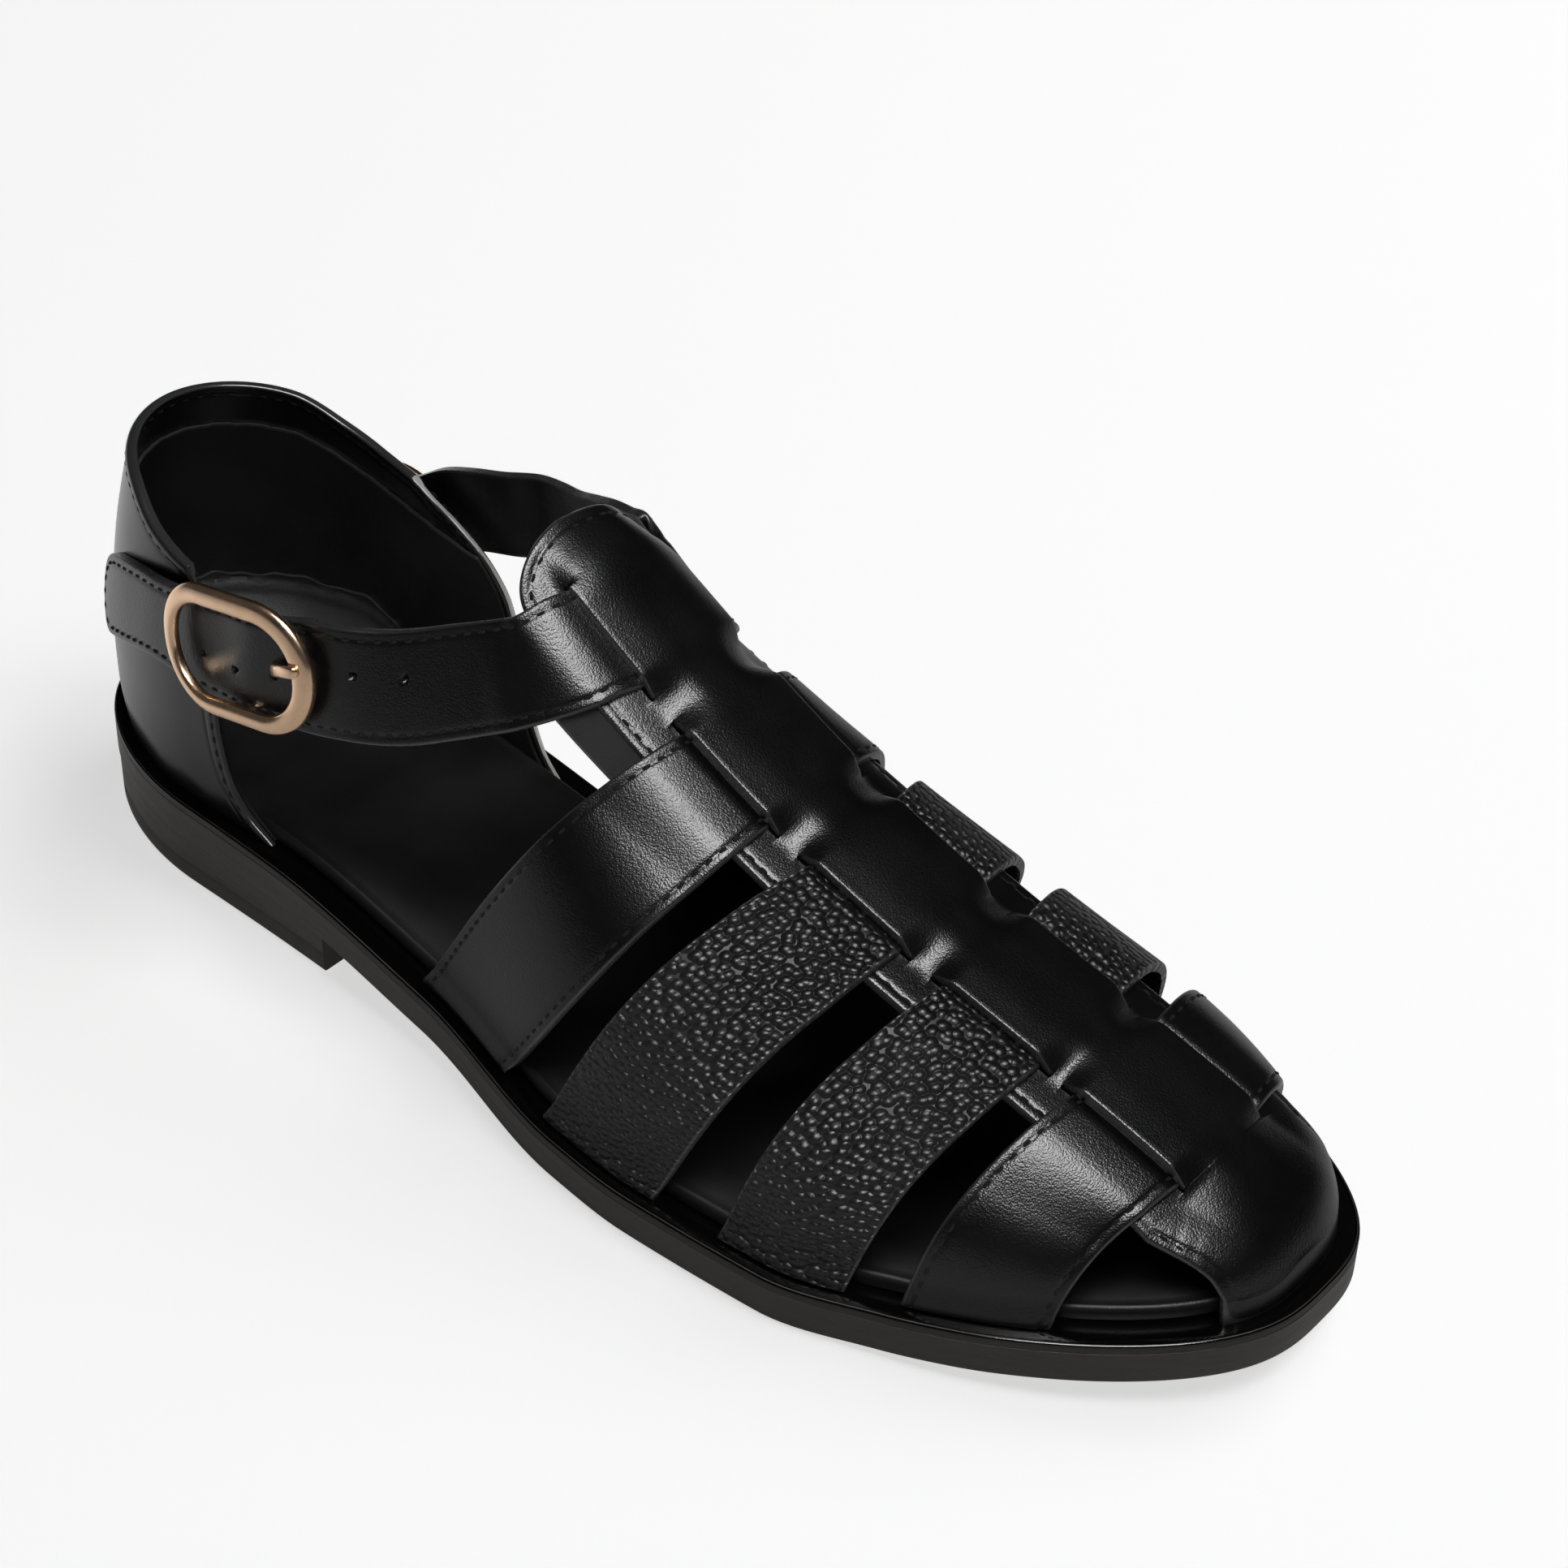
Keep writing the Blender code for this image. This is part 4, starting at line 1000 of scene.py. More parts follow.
def slab(name, levels, stations, materials, slot, end=LENGTH, second=(), in_welt=False):
    """A closed slab of level loops round the outline. Each level gives an inset and a height
    function; in_welt counts the inset from the line where the upper meets the welt. A cap of cross
    strips closes the lowest and the highest loop. second gives runs of levels their material."""
    n = len(stations)
    pointed = end == LENGTH
    rim = SOLE["rim"] * in_welt
    edges, back = [], np.arange(n - 2 if pointed else n - 1, 0, -1)
    for inset, height in levels:
        heel, toe = inset + rim[0], (inset + rim[-1]) * pointed
        x = heel + stations * (end - toe - heel)
        wall = inset + smooth(SOLE, "rim", x) * in_welt
        lateral, medial = (np.stack([x, half_outline(x, side, heel, wall, toe), height(x)], -1)
                           for side in SIDES)
        edges.append(np.concatenate([lateral, medial[back]]))
    size = len(edges[0])
    walls = grid_faces(len(levels), size, wrap=True)
    i = np.arange(1, n - 2 if pointed else n - 1)
    cap = np.stack([i, i + 1, size - i - 1, size - i], -1)
    ends = np.array([[0, 1, size - 1], [n - 2, n - 1, n]][:1 + pointed])
    top = (len(levels) - 1) * size
    quads = np.concatenate([walls, cap, cap + top])
    which = np.zeros(len(quads) + 2 * len(ends), int)
    for low, high, index in second:
        which[low * size:high * size] = index
        for closed, first, last in ((low == 0, 0, 1), (high == len(levels) - 1, 1, 2)):
            if closed:
                which[len(walls) + first * len(cap):len(walls) + last * len(cap)] = index
                which[len(quads) + first * len(ends):len(quads) + last * len(ends)] = index
    add_mesh(name, np.stack(edges), [quads, np.concatenate([ends, ends + top])], materials, slot,
             [name], second=which)


def rounded(height, radius, toward):
    """Levels over a rounded edge: upward from the flat below it (toward 1), or upward to the flat
    above it (toward -1)."""
    turn = np.linspace(0, math.pi / 2, 5)[::toward]
    return [(radius * (1 - math.sin(t)),
             lambda x, rise=radius * (1 - math.cos(t)) * toward: height(x) + rise) for t in turn]


def above(height, rise):
    """A height function, raised."""
    return lambda x: height(x) + rise


def floor_level(x):
    return 0 * x


class SANDAL_OT_sole(bpy.types.Operator):
    """Outsole, heel block and welt, with rounded and burnished edges"""

    bl_idname = "sandal.sole"
    bl_label = "Sole"

    def execute(self, context):
        made = finishes()
        under, seam = above(sole_top, -SOLE_EDGE), above(sole_top, -WELT_EDGE)
        groove = [(1.2, seam), (SEAM_GROOVE, seam)]
        slab("outsole", [(4.6, under), (4.2, above(under, 0.35)), (3.8, under)]
             + rounded(under, 0.9, 1) + [(0.0, above(sole_top, -5.0)), (0.0, above(seam, -0.12))]
             + groove[::-1], spread(190), [made["sole edge"], made["sole bottom"]], "sole_edge",
             second=[(0, 3, 1)])
        block = [(2.4, floor_level)] + rounded(floor_level, 0.8, 1)
        block += [(inset, above(floor_level, z)) for z, inset in HEEL_GROOVE]
        block += [(0.0, above(under, 0.8))]
        block = [(inset + HEEL_INSET, height) for inset, height in block]
        slab("heel_block", block, 1 - np.cos(np.linspace(0, math.pi / 2, 90)),
             [made["sole edge"], made["sole bottom"]], "sole_edge", HEEL_BREAST, [(0, 1, 1)])
        # The round edge runs from the top down, so it folds under the rim by its own radius.
        levels = groove + [(0.0, above(seam, 0.12))] + rounded(sole_top, 0.55, -1)[::-1]
        levels += [(1.9, above(sole_top, 0.06)), (3.0, sole_top), (6.5, sole_top)]
        slab("welt", levels, spread(190), [made["sole edge"], made["welt top"]], "glossy_welt",
             second=[(4, len(levels) - 1, 1)])
        return {"FINISHED"}


class SANDAL_OT_insole(bpy.types.Operator):
    """Insole with its rolled edge, and the heel sock that turns up inside the counter"""

    bl_idname = "sandal.insole"
    bl_label = "Insole"

    def execute(self, context):
        made = finishes()
        face = above(sole_top, INSOLE_TOP)
        levels = [(0.4, above(sole_top, -0.3)), (0.0, above(sole_top, 0.3)),
                  (0.0, above(face, -INSOLE_ROLL))]
        for turn in np.linspace(0.25, math.pi / 2, 5):
            levels.append((INSOLE_ROLL * (1 - math.cos(turn)),
                           above(face, -INSOLE_ROLL * (1 - math.sin(turn)))))
        levels += [(2.1, above(face, -0.18)), (2.6, above(face, 0.02)), (9.0, face)]
        slab("insole", [(INSOLE_INSET + extra, height) for extra, height in levels], spread(150),
             [made["sock leather"]], "lining_leather", in_welt=True)
        self.heel_sock(made)
        return {"FINISHED"}

    def heel_sock(self, made):
        """Grid round the heel by angle and up the wall by height. Its top line is gathered into
        slow waves over a stitched ridge, and its foot curves in over the insole."""
        across = np.linspace(-1, 1, 241)
        reach = np.abs(across)
        turn = np.clip(reach / SOCK_TURN, 0, 1) * math.pi / 2
        run = np.clip((reach - SOCK_TURN) / (1 - SOCK_TURN), 0, 1) * SOCK_RUN
        wave = np.sin(across * 34.0 + np.sin(across * 9.0)) + 0.5 * np.sin(across * 71.0)
        wave = SOCK_WAVE * wave
        fall = (1 - 0.99 * ease((reach - 0.62) / 0.36))[:, None]
        up = np.concatenate([[0, 0.02, 0.06], np.linspace(0.12, 1, 14)])
        height = up * (SOCK_RISE + wave)[:, None] * fall
        climbed = np.clip(height / (SOCK_RISE * fall), 0, 1)
        inset = COUNTER_WALL + 1.0 + SOCK_COVE * (1 - climbed) ** 1.6 * fall ** 2
        ridge = 0.45 * hump(climbed, 0.80, 0.05) + 0.5 * ease((climbed - 0.93) / 0.07)
        inset = inset + ridge * fall
        rise = height + INSOLE_TOP + 0.05
        back = SOLE["rim"][0] + smooth(LEAN, "back", rise) + inset
        x = HEEL_ROUND - (HEEL_ROUND - back) * np.cos(turn)[:, None] + run[:, None]
        wall = smooth(SOLE, "rim", x) + smooth(LEAN, "side", rise) + inset
        side = both(across < 0, LATERAL, MEDIAL)[:, None]
        y = half_outline(x, side, back, wall, 0.0)
        inner = np.stack([x, y, sole_top(x) + rise], -1)
        centre = np.array([HEEL_ROUND + 8.0, 0.0, 0.0])
        add_sheet("heel_sock", inner, inner + unit((inner - centre) * LEVEL) * 0.9,
                  [made["heel sock leather"]], "lining_leather")


# ---------------------------------------------------------------- upper

def crossings():
    """Back and front of every slit of the centre strip: the ankle bands' and the four straps'."""
    return [ANKLE_SLIT] + list(zip(STRAPS["back"], STRAPS["front"]))


def strip_top(x, u):
    """Height of the centre strip over the last. Over a crossing its middle is lifted and cut free
    from its margins; between crossings it runs softly down into them, from both slits' ends."""
    side = np.abs(u)
    lifted = np.zeros_like(x)
    for back, front in crossings():
        lead = FIRST_LEAD if back == ANKLE_SLIT[0] else OTHER_LEAD
        here = (ease((x - back + lead) / (lead + LIFT_RUN))
                * ease((front + OTHER_LEAD - x) / LIFT_END))
        lifted = lifted + here - lifted * here
    middle = TAB_RAISED + (MIDDLE_BETWEEN - TAB_RAISED) * ease((x - TAB_ENDS) / TAB_RUN)
    middle = middle - (MIDDLE_BETWEEN - MARGIN_HEIGHT) * ease((x - TOE_FAN) / TOE_RUN)
    down = ramp((side - BRIDGE_FLAT) / BRIDGE_FALL)
    between = MARGIN_HEIGHT + (middle - MARGIN_HEIGHT) * (1 - down)
    flat = TAB_FLAT * (side / STRIP_HALF) ** 2
    between = between + flat * (1 - ease((x - TAB_SINKS) / TAB_RUN))
    raised = (MIDDLE_RAISED - 0.3 * ease((side - 4.0) / 7.0) - between) * lifted
    soft = between + raised * (1 - ease((side - MIDDLE_HALF + 3.0) / 5.0))
    slot = both(side < MIDDLE_HALF + SLIT_OPEN - 0.02, 0.25, MARGIN_HEIGHT)
    cut = both(side <= MIDDLE_HALF + SLIT_HAIR,
               between + raised - rolled(MIDDLE_HALF - side, SLIT_ROLL), slot)
    return soft + (cut - soft) * slit_open(x)


def slit_open(x):
    """1 along every slit and 0 between them."""
    windows = [ease((x - back + SLIT_OVER) / 0.5) * ease((front + SLIT_OVER - x) / 0.5)
               for back, front in crossings()]
    return np.max(windows, axis=0)


def slit_edge(x, u):
    """Distance that stands for the slit's own cut edge in the panel attribute: the roll and the
    upper part of the wall, which the cut-edge tint paints lighter, partly as edge dye and partly as
    a painted highlight."""
    side = np.abs(u)
    line = MIDDLE_HALF + SLIT_HAIR
    near = both((side > MIDDLE_HALF - 0.25) & (side <= line), 0.0, 9.0)
    near = both((side > line) & (side < MIDDLE_HALF + 0.05), 1.9, near)
    return both(slit_open(x) > 0.5, near, 9.0)


def strip_columns():
    """Positions across the strip: close together at its edges and at the slits."""
    at_slit = MIDDLE_HALF + np.array([-SLIT_ROLL, -0.22, -0.1, -0.03, 0, 0.03, SLIT_OPEN - 0.03,
                                      SLIT_OPEN])
    half = np.concatenate([[0, 1.6, 3.2, 4.8, 6.2, 7.4, 8.4, 9.3, 10.1], at_slit,
                           np.linspace(12.0, 16.0, 6), STRIP_HALF - EDGE_LINES[::-1]])
    return np.concatenate([-half[:0:-1], half])


def strip_point(x, u):
    """Point of the last and its normal under the strip, u millimetres round from the ridge."""
    return last_point(x, across_ridge(x, u))


def widened(x, u):
    """The strip's outer parts spread as it nears the toe."""
    more = (TOE_WIDER - 1) * ease((x - TOE_WIDENS) / (TOE_FAN - TOE_WIDENS))
    return u * (1 + more * ease((np.abs(u) - MIDDLE_HALF - 0.6) / 7.0))


def toe_rim():
    """Line of the toe piece's foot from its lateral corner round the toe to its medial corner."""
    inset = STRAP_WALL - TOE_FOOT_OUT
    tip = LENGTH - SOLE["rim"][-1] - inset
    halves = []
    for corner, side in ((TOE_LATERAL_CORNER, LATERAL), (TOE_MEDIAL_CORNER, MEDIAL)):
        x = tip - (tip - corner) * np.sin(np.linspace(math.pi / 2, 0, 160)) ** 2
        halves.append(np.stack([x, rim_outline(x, side, inset)], -1))
    line = np.concatenate([halves[0], halves[1][-2::-1]])
    line[:, 0] = np.minimum(line[:, 0], tip - 0.15)
    return line, run_of(line)


def toe_place(share, part):
    """Plan point of the toe piece: straight lines that fan out from the strip's end to the rim.
    part runs 0 to 1 across; its steps near both cut edges keep their length in millimetres."""
    line, run = toe_rim()
    start = 2 * STRIP_HALF * TOE_WIDER
    width = start + (run[-1] - start) * share
    keep = EDGE_LINES[-1] / (2 * STRIP_HALF)
    held = EDGE_LINES[-1] / width
    near = both(part < 0.5, part, 1 - part)
    inner = held + (near - keep) * (0.5 - held) / (0.5 - keep)
    moved = both(near < keep, near / keep * held, inner)
    part = both(part < 0.5, moved, 1 - moved)
    start_x = np.full_like(part, TOE_FAN)
    start_y = across_ridge(start_x, (part * 2 - 1) * STRIP_HALF * TOE_WIDER)
    end_x = np.interp(part * run[-1], run, line[:, 0])
    end_y = np.interp(part * run[-1], run, line[:, 1])
    return start_x + (end_x - start_x) * share, start_y + (end_y - start_y) * share


def toe_creases(x, y):
    """Soft creases where the toe bends: shallow slanting troughs near the lateral edge."""
    slant = (x - 266.0) + 0.35 * (y + 12.0)
    creases = ((1.0, 0.0, 0.9), (0.8, 3.1, 0.8), (0.6, 6.4, 0.9))
    return -0.08 * hump(y, -11.0, 5.0) * sum(deep * hump(slant, at, wide)
                                             for deep, at, wide in creases)


def tab_outline(u):
    """x of the instep tab's back edge: a squared arc, a little slanted."""
    length = TAB_SQUARE - TAB_START - TAB_SLANT * np.maximum(u + 5.0, 0)
    return TAB_SQUARE - length * arc(u / STRIP_HALF, TAB_POWER)


class SANDAL_OT_strip(bpy.types.Operator):
    """Centre strip with its slits, from the instep tab to the toe piece, and its stitching"""

    bl_idname = "sandal.strip"
    bl_label = "Centre strip and toe piece"

    def execute(self, context):
        made = finishes()
        u = strip_columns()
        tab = tab_outline(u)
        share = np.concatenate([EDGE_LINES, np.linspace(EDGE_LINES[-1], 16.0, 24)[1:]]) / 16.0
        tab_x = tab + (TAB_ROWS_END - tab) * share[:, None]
        at_end = np.array([-0.2, 0.0, 0.2, 0.4, 0.6, 0.8])
        square = [np.arange(TAB_ROWS_END + 0.5, TOE_FAN, 0.5)]
        for back, front in crossings():
            square += [back - SLIT_OVER + at_end, front + SLIT_OVER - at_end]
        square = np.unique(np.round(np.concatenate(square), 3))
        square = square[(square > TAB_ROWS_END + 0.2) & (square < TOE_FAN)]
        x = np.concatenate([tab_x, np.tile(square[:, None], len(u))])
        y = across_ridge(x, widened(x, np.broadcast_to(u, x.shape)))
        toe_share = 1 - (1 - np.linspace(0, 1, TOE_ROWS)) ** 2
        toward_foot = np.concatenate([np.zeros(len(x)), toe_share])[:, None]
        part = np.broadcast_to((u / STRIP_HALF + 1) / 2, (TOE_ROWS, len(u)))
        toe = toe_place(np.broadcast_to(toe_share[:, None], part.shape), part)
        x, y = np.concatenate([x, toe[0]]), np.concatenate([y, toe[1]])
        inward = TOE_SLACK * toward_foot ** 2
        away = unit(np.stack([x - TOE_MIDDLE[0], y - TOE_MIDDLE[1]], -1))
        x, y = x - inward * away[..., 0], y - inward * away[..., 1]
        base, normal = last_point(x, y)
        base[-1, :, 2] = sole_top(x[-1])
        normal[..., 2] *= 1 - ease((toward_foot - 0.8) / 0.2)
        u = np.broadcast_to(u, x.shape)
        top = strip_top(x, u) + toe_creases(x, y) + inward + foot_flare(base, base[-1])
        leather_panel("centre_strip", base, unit(normal), top, np.maximum(top - STRAP_WALL, 0.0),
                      [base[0], base[:, 0], base[:, -1]], made["upper leather"], feet=[base[-1]],
                      dyed_and_highlit_edge=slit_edge(x, u), replaces=["upper"])
        self.stitch(made)
        return {"FINISHED"}

    def stitch(self, made):
        """Rows inside the cut edges: round the tab, down both margins where no strap lies on them,
        and along both edges of the toe piece."""
        inset = scene_sizes().stitch_inset
        half = STRIP_HALF - inset
        u = STRIP_HALF * squared(np.sin(np.linspace(-1, 1, 81) * math.pi / 2), 2 / TAB_POWER)
        x = tab_outline(u)
        x, u = x + (TAB_SQUARE + 3.0 - x) * inset / 10.0, u * half / STRIP_HALF
        lines = [self.on_top(x, u)]
        ends = crossings()
        for before, after in zip(ends, ends[1:]):
            x = np.linspace(before[1] - 1.8, after[0] + 1.8, 12)
            lines += [self.on_top(x, np.full(12, side * half)) for side in SIDES]
        share = np.linspace(0.02, 0.985, 60)
        part = inset / (2 * STRIP_HALF * TOE_WIDER)
        for across in (part, 1 - part):
            base, normal = last_point(*toe_place(share, np.full(60, across)))
            lines.append((base + normal * (MARGIN_HEIGHT - 0.12), normal))
        add_stitches("centre_strip_stitches", lines, made["thread"])

    def on_top(self, x, u):
        base, normal = strip_point(x, widened(x, u))
        return base + normal * (strip_top(x, u) - STITCH_TROUGH)[:, None], normal


def strap_plan(k, side, reach, share):
    """x of a cross strap at a distance from the ridge and a share across from its back edge. It
    runs square over the strip and then sweeps back to its foot on the welt by a power."""
    word = SIDES[side]
    back, front = STRAPS["back"][k] + STRAP_TAPER, STRAPS["front"][k] - STRAP_TAPER
    foot_back, foot_front = STRAPS[word + "_back"][k], STRAPS[word + "_front"][k]
    _, run = section(np.array((foot_back + foot_front) / 2), side)
    gone = np.clip((reach - STRAP_SETS_OUT) / (run[-1] - STRAP_SETS_OUT), 0, 1)
    power = STRAP_SWEEPS["back"][k] + share * (STRAP_SWEEPS["front"][k] - STRAP_SWEEPS["back"][k])
    start = back + share * (front + LAST_STRAP_WIDER * (k == 3) - back)
    foot = foot_back + share * (foot_front - foot_back)
    return start + (foot - start) * gone ** power, run[-1]


def strap_grid(k):
    """Base, normal and bottom height of a cross strap, along from its lateral foot over the strip
    to its medial foot and across from its back edge to its front edge."""
    go = np.linspace(0, 1, STRAP_ROWS + 1)[1:]
    over = np.linspace(-STRIP_HALF, STRIP_HALF, 70)
    whole = [strap_plan(k, side, 0.0, 0.0)[1] for side in SIDES]
    lateral_reach, medial_reach = (STRIP_HALF + (end - STRIP_HALF) * go for end in whole)

    def point(v):
        """v is a row of shares across for every step along."""
        parts = []
        for side, rows, reach, part in (
                (LATERAL, v[:STRAP_ROWS], lateral_reach[::-1], go[::-1]),
                (MEDIAL, v[-STRAP_ROWS:], medial_reach, go)):
            x = strap_plan(k, side, reach[:, None], rows)[0]
            parts.append((x, down_side(x, side, np.broadcast_to(part[:, None], x.shape))))
        rows = v[STRAP_ROWS:-STRAP_ROWS]
        place = np.broadcast_to(over[:, None], rows.shape)
        x = both(place < 0, *(strap_plan(k, side, side * place, rows)[0] for side in SIDES))
        parts.insert(1, (x, across_ridge(x, place)))
        return last_point(*(np.concatenate(part) for part in zip(*parts)))

    edges, _ = point(np.tile([0.0, 1.0], (2 * STRAP_ROWS + len(over), 1)))
    width = np.linalg.norm(edges[:, 1] - edges[:, 0], axis=-1)
    base, normal = point(across_lines(width, 26))
    reach = np.concatenate([lateral_reach[::-1], np.abs(over), medial_reach])
    beside = ease((reach - MIDDLE_HALF + 0.5) / 3.0)
    under = STRAP_UNDER + (MARGIN_HEIGHT - STRAP_UNDER) * beside
    bottom = under * (1 - ease((reach - STRIP_HALF + 1.0) / 14.0))
    return base, normal, np.broadcast_to(bottom[:, None], base.shape[:-1])


class SANDAL_OT_straps(bpy.types.Operator):
    """The four cross straps, two smooth and stitched and two of pebbled leather"""

    bl_idname = "sandal.straps"
    bl_label = "Cross straps"

    def execute(self, context):
        made = finishes()
        for k in range(4):
            pebbled = k in (1, 2)
            name = f"cross_strap_{k + 2}"
            base, normal, bottom = strap_grid(k)
            bottom = bottom + foot_flare(base, base[0]) + foot_flare(base, base[-1])
            top = bottom + STRAP_WALL + 0.12 * pebbled
            leather_panel(name, base, normal, top, bottom, [base[:, 0], base[:, -1]],
                          made["pebbled leather" if pebbled else "upper leather"],
                          stitched=not pebbled, feet=[base[0], base[-1]], replaces=["upper"])
            if not pebbled:
                self.stitch(name, base, normal, top, made)
        self.underlay(made)
        return {"FINISHED"}

    def stitch(self, name, base, normal, top, made):
        """Rows along the trough inside both long edges, from foot to slit on each side."""
        lines = []
        for j in (STITCH_LINE, -1 - STITCH_LINE):
            for rows in (slice(2, STRAP_ROWS + 17), slice(-STRAP_ROWS - 17, -2)):
                path = base[rows, j] + normal[rows, j] * (top[rows, j] - STITCH_TROUGH)[:, None]
                lines.append((path, normal[rows, j]))
        add_stitches(name + "_stitches", lines, made["thread"])

    def underlay(self, made):
        """Patch of lining lateral of the strip, between the ankle band and the second strap."""
        x = np.linspace(131.0, 153.5, 60)[:, None]
        reach = STRIP_HALF + 7.2 - (x - 139.0) * 0.06
        across = np.unique(np.concatenate([np.linspace(0, 0.9, 16), 1 - EDGE_LINES[:6] / 13.0]))
        u = -(15.0 + (reach - 15.0) * across)
        x = np.broadcast_to(x, u.shape)
        base, normal = strip_point(x, u)
        leather_panel("strip_underlay", base, normal, np.full(x.shape, 0.95), 0.0, [base[:, -1]],
                      made["flesh side"], stitched=False, slot="lining_leather")


def through(knots, rows, at):
    """Smooth curve through rows of points: a cubic between each two, with the mean slope at each
    knot. at holds a place for every point of the grid."""
    step = np.diff(knots)
    late, early = step[1:, None, None], step[:-1, None, None]
    slope = np.diff(rows, axis=0) / step[:, None, None]
    mean = (slope[:-1] * late + slope[1:] * early) / (late + early)
    tangent = np.concatenate([slope[:1], mean, slope[-1:]])
    i, j = knot_before(knots, at), np.broadcast_to(np.arange(at.shape[1]), at.shape)
    t = (at - knots[i]) / step[i]
    return cubic(t[..., None], step[i][..., None], rows[i, j], rows[i + 1, j], tangent[i, j],
                 tangent[i + 1, j])


class Band:
    """Middle surface of one ankle band from under the strip's middle back to its tip."""

    strip_knots = np.array([0.0, 4.0, 8.0, 11.5, 15.5, STRIP_HALF])
    strip_lift = np.array([1.6, 1.6, 1.7, 2.1, 2.8, 2.9])

    def __init__(self, side):
        self.side = side
        self.knots = run_of(self.rows(0.5)[:, 0])
        self.end = self.knots[-1] - TIP_SHORT

    def rows(self, share):
        """Points at every knot along for the given shares across."""
        share = np.asarray(share, float).reshape(1, -1)
        back, front = ANKLE_SLIT[0] + 0.3, ANKLE_SLIT[1] - 1.8
        swept = BAND_SWEEP * np.maximum(self.strip_knots - MIDDLE_HALF + 1.0, 0)[:, None]
        x = back + share * (front - back) - swept
        u = np.broadcast_to(self.strip_knots[:, None] * self.side, x.shape)
        base, normal = strip_point(x, u)
        on_strip = base + normal * self.strip_lift[:, None, None]
        knots = np.array(BAND_KNOTS)[:, None]
        free = band_point(self.side, knots, share)
        word = SIDES[self.side]
        free[..., 2] -= (smooth(BAND_LOWERED, word, knots) * share
                         + smooth(BAND_LOWERED, word + "_top", knots) * (1 - share))
        return np.concatenate([on_strip, free])

    def distance_at(self, at):
        """Distance along the band of a station of its table."""
        return float(np.interp(-at, -np.array(BAND_KNOTS), self.knots[len(self.strip_knots):]))

    def place(self, distance, share):
        """Middle surface at a distance along and a share across; share has one row for all."""
        return through(self.knots, self.rows(share), distance)


class SANDAL_OT_bands(bpy.types.Operator):
    """Ankle bands with their rounded tips, punched holes and stitching"""

    bl_idname = "sandal.bands"
    bl_label = "Ankle bands"

    def execute(self, context):
        made = finishes()
        for side in SIDES:
            self.band(side, made)
        return {"FINISHED"}

    def band(self, side, made):
        band = Band(side)
        name = "ankle_band_" + SIDES[side]
        share = across_lines(BAND_WIDTH, 30)[0]
        bends = band.end - BAND_CAP
        steps = np.append(np.arange(0, bends, 0.55), bends)
        last = BAND_CAP - 1.0
        near = np.concatenate([EDGE_LINES, np.linspace(EDGE_LINES[-1], last, 16)[1:]])[::-1] / last
        short = TIP_LENGTH * (1 - arc(2 * share - 1, TIP_POWER))
        tip = bends + (BAND_CAP - short) * (1 - near)[:, None]
        distance = np.concatenate([np.tile(steps[:, None], len(share)), tip[1:]])
        grid = band.place(distance, share)
        normal = unit(np.cross(np.gradient(grid, axis=0), np.gradient(grid, axis=1)))
        if (normal[len(steps) // 2] * [0, side, 0.4]).sum() < 0:
            normal = -normal
        bar = band.distance_at(BUCKLE_AT[side] + BAR_AHEAD)
        crest = 0.7 * hump(distance, bar, 5.5) * (1 if side == LATERAL else 0.4)
        top = BAND_WALL / 2 + crest - self.holes(side, band, distance, grid)
        rims = [grid[:, 0], grid[:, -1], grid[-1]]
        leather_panel(name, grid, normal, top, crest - BAND_WALL / 2, rims, made["upper leather"],
                      replaces=["upper"])
        self.stitch(name, band, grid, normal, crest, made)

    def holes(self, side, band, distance, grid):
        """Depth of the punched holes: round pits with steep walls along the band's middle line."""
        depth = np.zeros(distance.shape)
        width = run_of(grid, 1)
        across = width - width[:, -1:] / 2
        for ahead, up in zip(HOLES["ahead"], HOLES["up"]):
            gap = np.hypot(distance - band.distance_at(BUCKLE_AT[side] + ahead), across + up)
            depth = np.maximum(depth, 1.2 * (1 - ease((gap - 0.35) / 0.5)))
        return depth

    def stitch(self, name, band, grid, normal, crest, made):
        """One row up the band inside its top edge, round the tip and back inside its low edge."""
        rows = slice(14, -18)
        inset = scene_sizes().stitch_inset
        w = squared(np.sin(np.linspace(-1, 1, 41) * math.pi / 2), 2 / TIP_POWER)
        v = 0.5 + w * (0.5 - inset / BAND_WIDTH)
        d = band.end - inset - (TIP_LENGTH - inset * 0.4) * (1 - arc(w, TIP_POWER))
        tip = band.place(d[None, :], v)[0]
        near = np.linalg.norm(grid[:, :, None] - tip, axis=-1).reshape(-1, len(tip)).argmin(0)
        tip_normal = normal.reshape(-1, 3)[near]
        lift = BAND_WALL / 2 - STITCH_TROUGH
        top = grid + normal * (lift + crest)[..., None]
        path, normals = (np.concatenate([one[rows, STITCH_LINE], at_tip,
                                         one[rows, -1 - STITCH_LINE][::-1]])
                         for one, at_tip in ((top, tip + tip_normal * lift), (normal, tip_normal)))
        add_stitches(name + "_stitches", [(path, normals)], made["thread"])


# ---------------------------------------------------------------- heel counter

